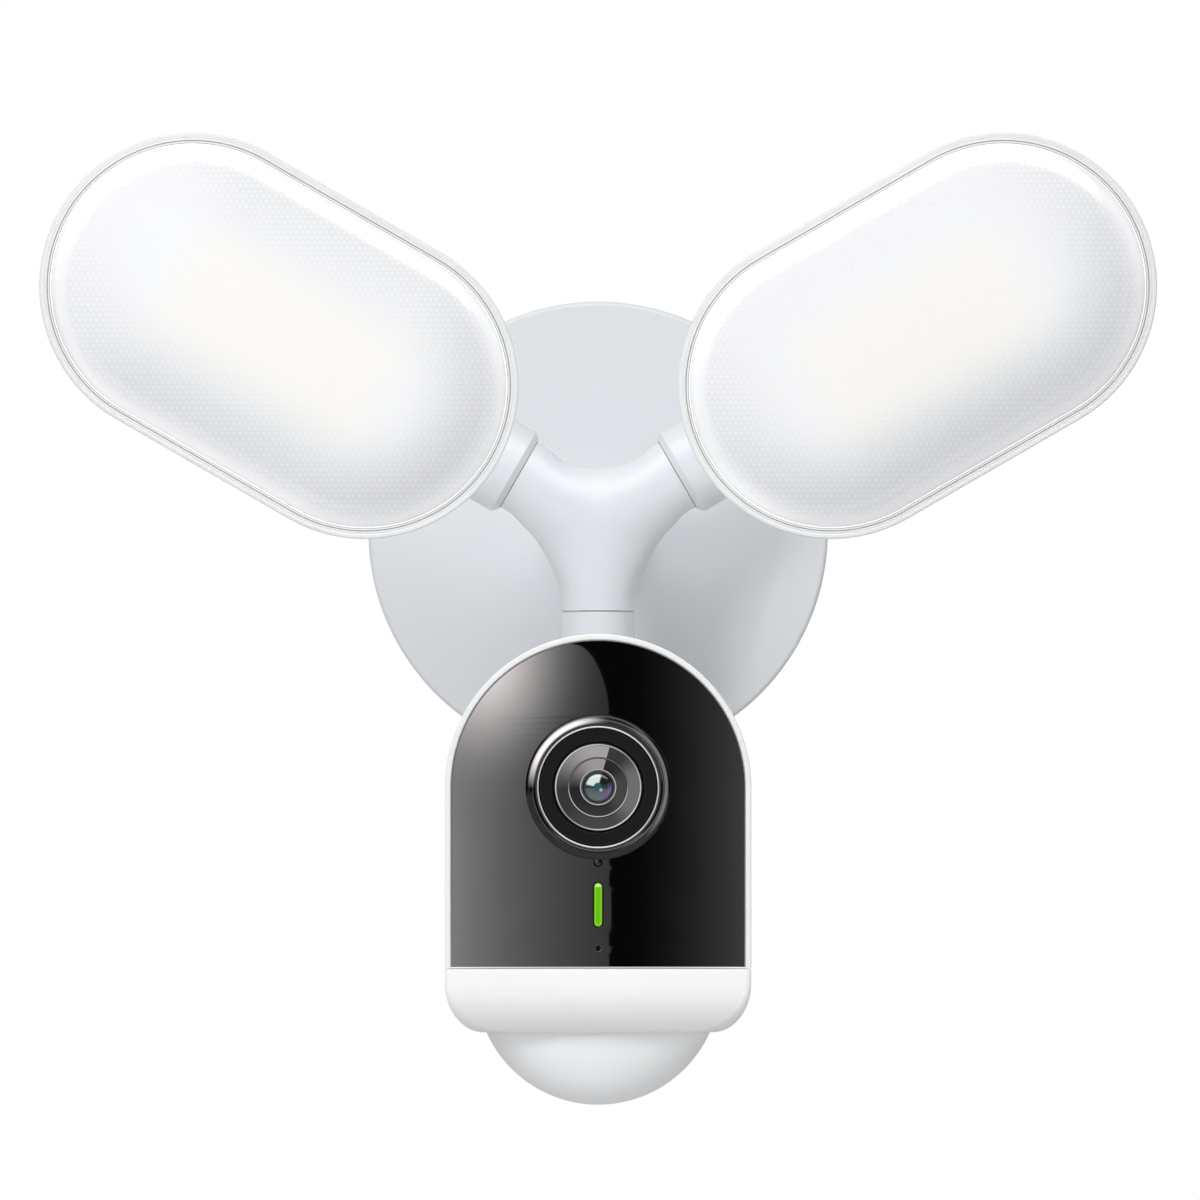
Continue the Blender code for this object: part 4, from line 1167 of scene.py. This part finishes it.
def arm_pieces():
    """The arm's two halves, the flared trunk on the rear one, and the screws that hold them together."""
    put(arm_half("arm_front", -1), "arm_front_shell")
    rear = arm_half("arm_rear", 1)
    hub_h, crest = -HUB.y, -HUB.y - TUBE_R
    flare = arc((TUBE_R + 6, CANOPY_H + 8.9), 6, 180, 250, 14)
    outline = [(0, hub_h - 6), (TUBE_R, hub_h - 6), *flare, (15.2, CANOPY_H + 0.8), (14.9, CANOPY_H + GAP)]
    outline += [(TRUNK_R, CANOPY_H + GAP), (TRUNK_R, 22.4), (TRUNK_R - 0.4, 22)]
    outline += [(TRUNK_BORE_R, 22), (TRUNK_BORE_R, hub_h - 5), (0, hub_h - 5)]
    trunk = lathe("trunk", outline, facing_front(HUB.x, 0, 0))
    cutters = []
    spots = {side: HUB + arm_axes(side)[0] * ARM_SCREW_U for side in SIDES}
    for spot in spots.values():
        cutters.append(rod(3.1, crest - 6, crest + 1, facing_front(spot.x, 0, spot.z)))
    grow(rear, trunk)
    put(carve(rear, *cutters), "arm_rear_shell")
    for side, spot in spots.items():
        screw(f"arm_screw_{side}", facing_back(spot.x, 0, spot.z), 2.8, 0.8, 1.4, 15.0, -crest - 0.7)


# ---------------------------------------------------------------- lamps


def swivel_pieces(side):
    """The hollow stub that turns in the arm, with the knuckle's eye on its end, and the collar round it."""
    axis = axis_frame(side)
    stub = lathe("stub", rounded([
        (0, 18), (SHAFT_R, 18, 0.3), (SHAFT_R, 31.6), (9.9, 31.6, 0.4), (9.9, 34, 0.4),
        (7.6, 34.6), (7.6, 40, 0.8), (0, 40),
    ]), axis)
    eye = arc((KNUCKLE_U, 0), KNUCKLE_R, -120, 120, 30) + [(38.6, 6.0), (38.6, -6.0)]
    grow(stub, prism("eye", eye, -5, 5, tilt_frame(side), 0.6))
    put(carve(stub, rod(LAMP_BORE_R, -9, 9, knuckle_frame(side))), f"{side}_swivel_stub")
    collar = rounded([
        (10.75, 24.7, 0.25), (COLLAR_R, 26.3, 0.4), (COLLAR_R, 36.7, 0.3), (11.4, 37.5, 0.2),
        (8.2, 37.5, 0.2), (8.2, 35.5), (10.4, 35.5), (10.4, 24.7, 0.15),
    ])
    put(lathe("collar", collar, axis), f"{side}_lamp_collar")
    # A thin dark rubber ring in the collar's mouth, put there to stand for the shade in the gap between the
    # collar and the arm.
    lip = [(10.08, 24.52), (10.24, 24.56), (10.3, 24.9), (10.3, 25.6), (10.08, 25.6)]
    put_extra(lathe("lip", lip, axis), f"{side}_collar_gap_shade", f"{side}_lamp_collar", "seal_rubber")
    for node in ("swivel_bush", "swivel_nut"):
        dress(f"{side}_{node}")


def lamp_housing(side):
    """The lamp's back: a rounded stadium pan with cooling ribs, two ears for the bolt and a bezel rim."""
    front = LAMP_FRONT
    outline = rounded([
        (0, 17.0), (26, 17.0, 6), (35.2, 19.6, 7), (40.0, 25.5, 7), (LAMP_R, 32.0, 3), (LAMP_R, front, 0.45),
        (39.95, front, 0.15), (39.95, 30.0), (COVER_R, 30.0), (36.6, 25.2), (31.5, 20.4), (0, 19.2),
    ], 7)
    pan = stadium_ring("pan", outline, lamp_frame(side))
    plane = tilt_frame(side)
    root, crest = -18.2, -13.6  # heights on the pan's back: inside its wall, and the ribs' tops
    over = arc((KNUCKLE_U, 0), KNUCKLE_R, 180, 0, 24)
    ear = [(KNUCKLE_U - KNUCKLE_R, root)] + over + [(KNUCKLE_U + KNUCKLE_R, root)]
    grown = [prism("ear", ear, start, end, plane, 0.5) for start, end in ((-9.4, -5.4), (5.4, 9.4))]
    for index in range(-2, 3):
        z, reach = index * 7.5, 140 - abs(index) * 3
        profile = rounded([
            (66, -18), (66, -15.5, 1.5), (69, crest, 3),
            (reach - 3, crest, 3), (reach, -15.5, 1.5), (reach, -18),
        ])
        grown.append(prism("rib", profile, z - 0.9, z + 0.9, plane, 0.35))
    grow(pan, *grown)
    put(carve(pan, rod(LAMP_BORE_R, -14, 14, knuckle_frame(side))), f"{side}_lamp_housing")


def lamp_lens(side):
    """The cover: a slightly crowned face, a sloping shoulder round it, and a lip that the bezel holds."""
    knee, face_r, seat, foot = 36.7, 32.6, 32.5, 31.4
    crown = [(face_r * i / 10, 40.9 - 0.75 * (i / 10) ** 2) for i in range(11)]
    slope = [(face_r, 40.15)]
    # The shoulder's steps: how far out, and how steep in degrees
    tilts = [(0.5, 6), (0.5, 14), (0.5, 20), (0.8, 25), (0.9, 29)]
    tilts += [(0.9, 33), (0.6, 40), (0.3, 52), (0.2, 64), (0.12, 76)]
    for run, tilt in tilts:
        r, z = slope[-1]
        slope.append((r + run, z - run * math.tan(math.radians(tilt))))
    outer = crown + slope[1:] + [(COVER_R, knee - 0.6)]
    inner = [(r * 0.955, z - 1.9) for r, z in crown + slope[1:6]]
    outline = [*inner, (36.3, foot), (39.6, foot), (39.6, seat), (COVER_R, seat), *outer[::-1]]
    put(stadium_ring("lens", outline, lamp_frame(side)), f"{side}_lamp_lens", smooth=50)


def lamp_bezel(side):
    """A thin ring round the cover, with a narrow groove between its two lands."""
    outline = rounded([
        (39.86, 32.8), (39.86, 34.3, 0.15), (39.3, 34.4, 0.05), (39.2, 34.2),
        (38.94, 34.2), (38.84, 34.4, 0.05), (38.3, 34.4, 0.1), (38.26, 32.8),
    ], 3)
    put(stadium_ring("bezel", outline, lamp_frame(side)), f"{side}_lamp_bezel", smooth=40)


def lamp_pieces(side):
    swivel_pieces(side)
    lamp_housing(side)
    lamp_lens(side)
    lamp_bezel(side)
    for node, edge in (("led_board", 0.1), ("reflector", 0), ("lens_gasket", 0)):
        dress(f"{side}_{node}", edge)
    screw(f"{side}_tilt_bolt", knuckle_frame(side), 4.4, 2.2, 2.5, 21.0, 9.8, recess="hex")


# ---------------------------------------------------------------- camera neck and head


def neck_pieces():
    """The yoke that turns under the arm's leg, with an ear on each side of the head's lug."""
    bottom = YOKE_BOTTOM
    yoke = lathe("yoke", rounded([
        (2.8, -9.2), (SHAFT_R, -9.2, 0.3), (SHAFT_R, NECK_TOP), (YOKE_R, NECK_TOP, 0.3),
        (YOKE_R, bottom, 1.2), (0, bottom), (0, bottom + 4), (2.8, bottom + 4),
    ]), at(HUB.x, HUB.y, 0))
    top = bottom + 2 - PIVOT.z
    ear = [(LUG_R, top)] + arc((0, 0), LUG_R, 0, -180, 28) + [(-LUG_R, top)]
    ears = [prism("ear", ear, start, end, side_on(PIVOT), 0.5) for start, end in ((4.8, 8.2), (-8.2, -4.8))]
    grow(yoke, *ears)
    put(carve(yoke, rod(HEAD_BORE_R, -12, 12, along_x(*PIVOT))), "neck_yoke")
    screw("camera_tilt_bolt", along_x(*PIVOT), 3.8, 1.8, 2.2, 18.5, 8.5, recess="hex")
    seam = NECK_TOP + 0.02
    ring = [(6.0, seam), (9.55, seam), (9.62, seam + 0.1), (9.55, seam + 0.3), (6.0, seam + 0.3)]
    put_extra(lathe("ring", ring, at(HUB.x, HUB.y, 0)), "neck_seal", "neck_yoke", "bearing_nylon")
    for node in ("pan_bush", "pan_nut"):
        dress(node)


def head_shell():
    """The casing: a lip round the panel, straight sides, a rounded rear, the lug, grille and opening."""
    depth = TRAY_REAR - HEAD_STRAIGHT_END
    inside = HEAD_R - HEAD_WALL
    # Stations of (y, radius) from the front to the rear
    lip = ((0, 0.45), (0.06, 0.25), (0.2, 0.08), (0.45, 0.0))
    outer = [(HEAD_FRONT + y, HEAD_R - inset) for y, inset in lip]
    outer += [(HEAD_FRONT + HEAD_STRAIGHT * i / 4, HEAD_R) for i in (1, 2, 3, 4)]
    inner = [(HEAD_FRONT, inside + 0.2), (HEAD_FRONT + 0.2, inside), (HEAD_STRAIGHT_END, inside)]
    for i in range(1, REAR_STEPS + 1):
        half, back = rear_curve(HEAD_R, depth, REAR_SHARE * i / REAR_STEPS)
        outer.append((HEAD_STRAIGHT_END + back, half))
        half, back = rear_curve(inside, depth - HEAD_WALL, 0.97 * i / REAR_STEPS)
        inner.append((HEAD_STRAIGHT_END + back, half))
    rows = [[(x, y, z) for x, z in arch(r, SEAM_Z)] for y, r in outer[::-1] + inner]
    count = len(rows[0])
    right = [row * count for row in range(len(rows))]
    left = [i + count - 1 for i in right]
    rear_edge = (right[0], left[0], left[-1], right[-1])
    more = [*end_faces(rows), right, left, rear_edge]
    shell = loft("shell", rows, Matrix(), around=False, closed=False, more=more)
    lug = [(-18, LUG_R)] + arc((0, 0), LUG_R, 90, -90, 28) + [(-18, -LUG_R)]
    grow(shell, prism("lug", lug, -4.4, 4.4, side_on(PIVOT), 0.5))
    cutters = [rod(HEAD_BORE_R, -8, 8, along_x(*PIVOT))]
    half, corner = 0.8, 0.75
    for y in (-149, -145, -141, -137):
        slot = rounded([(y + a * half, z, corner) for a, z in ((-1, -103), (1, -103), (1, -88), (-1, -88))])
        cutters.append(prism("grille", slot, -44, -38, side_on(), edge=0))
    cover_low, cover_high = low("service_cover"), high("service_cover")
    start = (36, cover_low.y - GAP, cover_low.z - GAP)
    cutters.append(block("opening", start, (44, cover_high.y + GAP, cover_high.z + GAP), edge=0))
    put(carve(shell, *cutters), "head_shell", smooth=38)


def service_pieces():
    """The flap over the reset key, with a finger notch, and the key itself with a dished end."""
    lo, hi = low("service_cover"), high("service_cover")
    flap = block("flap", tuple(lo), tuple(hi), edge=0.3)
    notch = lathe("notch", [(0, 38), (2.6, 41.6), (0, 45)], along_x(0, hi.y - 2.4, (lo.z + hi.z) / 2), 40)
    put(carve(flap, notch), "service_cover")
    lo, hi = low("reset_button"), high("reset_button")
    centre = (lo + hi) / 2
    key = rounded([(0, hi.x - 0.35), (1.2, hi.x - 0.2), (1.8, hi.x, 0.2), (1.8, lo.x, 0.2), (0, lo.x)])
    put(lathe("key", key, along_x(0, centre.y, centre.z), 48), "reset_button")


def plan_outline(inset):
    """The tray's outline from above, as (x, y), drawn in by inset, with its front corners rounded."""
    half, short = HEAD_R - inset, inset * 0.55
    front, corner = HEAD_FRONT + short, 1.5 + inset * 0.7
    side = arc((half - corner, front + corner), corner, -90, 0, 10)
    for i in range(REAR_STEPS + 1):
        across, back = rear_curve(half, TRAY_REAR - HEAD_STRAIGHT_END - short, REAR_SHARE * i / REAR_STEPS)
        side.append((across, HEAD_STRAIGHT_END + back))
    return side + [(-x, y) for x, y in side[::-1]]


def bottom_cover():
    """The tray: a straight band, then a broad rounded edge down to the flat floor with the dome's hole."""
    band_top, drop = high("bottom_cover").z, TRAY_ROUND_TOP - TRAY_BOTTOM
    levels = [(band_top, 0.35), (band_top - 0.1, 0.12), (band_top - 0.35, 0.0), (-119.0, 0.0)]
    for i in range(19):
        swing = math.radians(5 * i)
        levels.append((TRAY_ROUND_TOP - drop * math.sin(swing), TRAY_PULL * (1 - math.cos(swing))))
    inside = [(max(z, TRAY_BOTTOM + TRAY_WALL), inset + TRAY_WALL) for z, inset in levels[::-1]]
    loops = [[(x, y, z) for x, y in plan_outline(inset)] for z, inset in inside + levels]
    tray = loft("tray", loops, Matrix(), around=False, more=end_faces(loops))
    hole = rod(DOME_R + GAP, TRAY_BOTTOM - 3, TRAY_BOTTOM + 8, at(0, DOME_Y, 0), 144)
    put(carve(tray, hole), "bottom_cover", smooth=38)


def pir_dome():
    """The motion sensor's window: part of a sphere, with a flange inside the tray."""
    centre = DOME_BOTTOM + DOME_SPHERE_R
    start = -math.degrees(math.asin((centre - TRAY_BOTTOM) / DOME_SPHERE_R))
    outer = arc((0, centre), DOME_SPHERE_R, start, -90, 30)
    inner = arc((0, centre), DOME_SPHERE_R - DOME_WALL, -90, start, 20)
    flange, top, seat = DOME_R + 2.2, TRAY_BOTTOM + 4.3, TRAY_BOTTOM + 3.1
    outline = [(flange, top), (flange, seat), (DOME_R, seat), *outer, *inner, (28.6, top)]
    put(lathe("dome", outline, at(0, DOME_Y, 0)), "pir_dome", smooth=40)


def plate(name, outlines, start, end, place, edge=0.0):
    """A flat plate from a filled curve: the first outline is its edge and the others are its holes."""
    curve = bpy.data.curves.new(name, "CURVE")
    curve.dimensions = "2D"
    curve.fill_mode = "BOTH"
    curve.extrude = ((end - start) / 2 - edge) * MM
    curve.bevel_depth = edge * MM
    curve.bevel_resolution = 2
    curve.offset = -edge * MM
    made = curve_mesh(curve, [[(x, y, 0) for x, y in outline] for outline in outlines], cyclic=True)
    bm = bmesh.new()
    bm.from_mesh(made)
    bpy.data.meshes.remove(made)
    bmesh.ops.translate(bm, vec=(0, 0, (start + end) / 2 * MM), verts=bm.verts)
    return mesh_from(name, bm, place)


def face_frame(height=0.0):
    """Local z points forward from the panel's face, with the origin at this height from the lens axis."""
    return facing_front(0, PANEL_Y, ARCH_Z + height)


def slot_outline(radius, half_line, centre_z, count=14):
    """An upright slot on the panel's face."""
    return [(y, x + centre_z) for x, y, _ in stadium(radius, 0, half_line, count)]


def round_hole(radius, centre_z):
    return arc((0, centre_z), radius, 0, 348, 29)


def front_panel():
    """The black face, flush in the casing's lip, swelling in a smooth ring round the lens."""
    foot, crest_r, crest_h = 19.3, 17.55, 1.25
    outlines = [
        [(x, z - ARCH_Z) for x, z in arch(PANEL_R, SEAM_Z + GAP)], arc((0, 0), foot, 0, 357.5, 143),
        slot_outline(1.35, LIGHT_HALF_LINE, LIGHT_Z), round_hole(1.15, SENSOR_Z), round_hole(0.9, MIC_Z),
    ]
    panel = plate("panel", outlines, -PANEL_DEPTH, 0, face_frame(), 0.12)
    shares = [i / 16 for i in range(17)]
    rise = [(foot - (foot - crest_r) * s, crest_h * (3 * s * s - 2 * s**3) ** 0.9) for s in shares]
    fall = arc((crest_r, crest_h - 1.0), 1.0, 90, 180, 8)[1:]
    swell = lathe("swell", [(foot, -PANEL_DEPTH), *rise, *fall, (LENS_HOLE_R, -PANEL_DEPTH)], face_frame())
    join_meshes(panel, swell)
    put(panel, "front_panel", smooth=50)


def join_meshes(obj, other):
    """Adds other's mesh to obj's. Both have the same matrix."""
    bm = bmesh.new()
    bm.from_mesh(obj.data)
    bm.from_mesh(other.data)
    bm.to_mesh(obj.data)
    bm.free()
    bpy.data.objects.remove(other)


def lens_pieces():
    """Rings and elements of the lens, with heights from the panel's face."""
    place = face_frame()
    ring = rounded([(16.36, -2.6), (16.36, 1.0, 0.2), (15.95, 1.0, 0.2), (15.95, -2.6)])
    put(lathe("ring", ring, place, 192), "lens_trim_ring", smooth=60)
    shroud = rounded([(15.5, -2.8), (15.5, 0.3, 0.2), (12.3, 0.15, 0.15), (12.1, -0.3), (11.9, -2.8)])
    put(lathe("shroud", shroud, place, 192), "lens_shroud")
    barrel = rounded([
        (11.6, -12), (11.6, 0.1, 0.16), (11.15, 0.1, 0.16), (8.2, -2.4, 0.1),
        (8.05, -2.15, 0.1), (7.75, -2.15, 0.1), (7.5, -2.6, 0.1), (4.95, -5.3, 0.1),
        (4.85, -4.9, 0.08), (4.6, -4.9, 0.08), (4.6, -12),
    ], 3)
    put(lathe("barrel", barrel, place, 192), "lens_barrel", smooth=28)
    swings = [math.radians(90 * i / 16) for i in range(17)]
    dome = [(4.4 * math.sin(a), -5.4 + 2.0 * math.cos(a)) for a in swings]
    put(lathe("glass", [*dome, (4.4, -6.6), (0, -6.6)], place, 96), "lens_glass")
    window = rounded([(0, -0.5), (0.6, -0.55), (1.0, -0.7, 0.1), (1.0, -2.0), (0, -2.0)])
    put(lathe("window", window, face_frame(SENSOR_Z), 40), "light_sensor_window")
    screen = rod(0.85, -1.95, -1.8, face_frame(MIC_Z), 144)
    put_extra(screen, "microphone_screen", "microphone", "black_frame")
    light = plate("light", [slot_outline(1.2, LIGHT_HALF_LINE, LIGHT_Z)], -2.2, 0.15, place, 0.3)
    put(light, "status_light", smooth=50)


def head_pieces():
    head_shell()
    service_pieces()
    bottom_cover()
    pir_dome()
    front_panel()
    lens_pieces()
    boards = ("image_sensor_board", "main_board", "speaker", "microphone")
    for node in ("panel_gasket", "inner_frame", "pir_sensor", "rear_lens", *boards):
        dress(node, 0.15)


# ---------------------------------------------------------------- stage, light and camera

CAMERA_LENS, SENSOR = 1650.0, 36.0
PICTURE_WIDTH, PICTURE_Y = 322.1, -115.0  # what the camera sees, in the plane where it sees that much
CARD_Y, CARD_EDGE_R, CARD_BEND_Z = -500.0, 33.0, 17.9
PANEL_MIRROR = 0.04  # the share of light that the panel reflects face on


def stage_plane(name, size_x, size_y, place):
    """A single flat face of this size."""
    a, b = size_x / 2, size_y / 2
    obj = mesh(name, [(-a, -b, 0), (a, -b, 0), (a, b, 0), (-a, b, 0)], [(0, 1, 2, 3)], place)
    return obj


def floor():
    """A plain pale floor below the object."""

    def fields(g):
        speckle = g.noise(0.05, 4)
        return {
            "Base Color": g.tint((0.86, 0.86, 0.86), 0.98 + 0.03 * speckle),
            "Roughness": 0.75 + 0.1 * speckle,
            "Normal": g.bump(speckle, 0.1),
        }

    paint(stage_plane("floor", 6000, 5500, at(0, -250, -240)), material(fields))


def softbox(name, position, size_x, size_y, power, glossy=True):
    """A rectangular light that is aimed at the object, with its place and size in metres."""
    light = bpy.data.lights.new(name, "AREA")
    light.shape = "RECTANGLE"
    light.size, light.size_y = size_x, size_y
    light.energy = power
    obj = add_object(name, light)
    obj.location = position
    aim = Vector((0, -0.1, -0.02)) - Vector(position)
    obj.rotation_euler = aim.to_track_quat("-Z", "Y").to_euler()
    obj.visible_glossy = glossy
    obj.light_linking.blocker_collection = SHADERS


def lights():
    softbox("ceiling", (0, -0.9, 1.3), 2.6, 1.2, 24)
    softbox("key", (-1.15, -2.1, 0.62), 0.5, 0.5, 15, glossy=False)
    softbox("right_edge", (1.6, -0.8, 0.2), 0.6, 1.2, 1.9, glossy=False)
    softbox("left_edge", (-1.6, -0.6, 0.1), 0.4, 1.2, 1.2, glossy=False)


def world():
    """White behind the object, a soft ambient, and a dark front so that glossy faces stay deep."""
    made = bpy.data.worlds.new("studio")
    bpy.context.scene.world = made
    made.use_nodes = True
    made.node_tree.nodes.clear()
    g = Graph(made.node_tree)
    _, depth, height = g.xyz(g.add("TexCoord", output="Generated"))
    behind = g.smooth(depth, -0.15, 0.45)
    glossy = 0.02 + 0.75 * behind + 0.1 * g.smooth(height, 0.2, 0.9)
    ambient = 0.02 + 0.12 * g.smooth(depth, 0.0, 1.0)
    is_camera = g.add("LightPath", output="Is Camera Ray")
    is_glossy = g.add("LightPath", output="Is Glossy Ray")
    strength = ambient * (1.0 - is_glossy) + glossy * is_glossy
    strength = strength * (1.0 - is_camera) + is_camera
    background = g.add("Background", {"Color": (1.0, 1.0, 1.0), "Strength": strength})
    output = g.tree.nodes.new("ShaderNodeOutputWorld")
    g.feed(output.inputs["Surface"], background)


def face_card(camera_y):
    """A card that only the black panel reflects: a lit left part with a curved edge and a warm spot."""
    # The reflection of the near-parallel view grows by as much as the card stands ahead.
    spread = 2 - (CARD_Y - camera_y) / (PANEL_Y - camera_y)
    made = bpy.data.materials.new("face_card")
    made.use_nodes = True
    made.node_tree.nodes.clear()
    g = Graph(made.node_tree)
    x, z, _ = g.xyz()
    x, z = x / spread, z / spread
    bend = g.math("MAXIMUM", z - CARD_BEND_Z, 0.0)
    curve = g.math("SQRT", g.math("MAXIMUM", CARD_EDGE_R**2 - bend * bend, 0.0))
    left = g.math("LESS_THAN", x, 2.9 - CARD_EDGE_R + curve)
    base = 0.0382 * g.math("EXPONENT", x * -0.0413) * (1.0 - 0.38 * g.smooth(z, -21.0, 24.0))
    spot = 0.69 * g.math("EXPONENT", ((x + 31.0) ** 2.0 / 225.0 + (z - 33.6) ** 2.0 / 386.0) * -1.0)
    right = 0.0296 * g.math("MAXIMUM", (x - 5.0) / 30.0, 0.0) ** 2.2
    level = left * (base + spot) + (1.0 - left) * right
    colour = g.blend(g.smooth(spot, 0.0, 0.3), (1.0, 1.0, 1.0), (1.0, 0.94, 0.93))
    emission = g.add("Emission", {"Color": colour, "Strength": level / PANEL_MIRROR})
    output = g.tree.nodes.new("ShaderNodeOutputMaterial")
    g.feed(output.inputs["Surface"], emission)
    card = stage_plane("face_card", 130, 150, facing_front(0, CARD_Y, ARCH_Z))
    paint(card, made)
    card.visible_camera = card.visible_diffuse = card.visible_shadow = card.visible_transmission = False
    panel_only = bpy.data.collections.new("panel_only")
    panel_only.objects.link(bpy.data.objects["front_panel_fine"])
    card.light_linking.receiver_collection = panel_only


def camera():
    """Straight on, from far away with a long lens, as wide as the object needs. Returns the camera's y."""
    data = bpy.data.cameras.new("camera")
    data.lens, data.sensor_width = CAMERA_LENS, SENSOR
    data.clip_start, data.clip_end = 0.1, 40.0
    obj = add_object("camera", data)
    middle_z = (cad_box[0].z + cad_box[1].z) / 2 / MM + 5.27
    y = PICTURE_Y - PICTURE_WIDTH * CAMERA_LENS / SENSOR
    obj.matrix_world = facing_front(0.5, y, middle_z)
    bpy.context.scene.camera = obj
    return y


base_pieces()
arm_pieces()
for side in SIDES:
    lamp_pieces(side)
neck_pieces()
head_pieces()
floor()
lights()
world()
face_card(camera())
bpy.context.scene.view_settings.view_transform = "Standard"
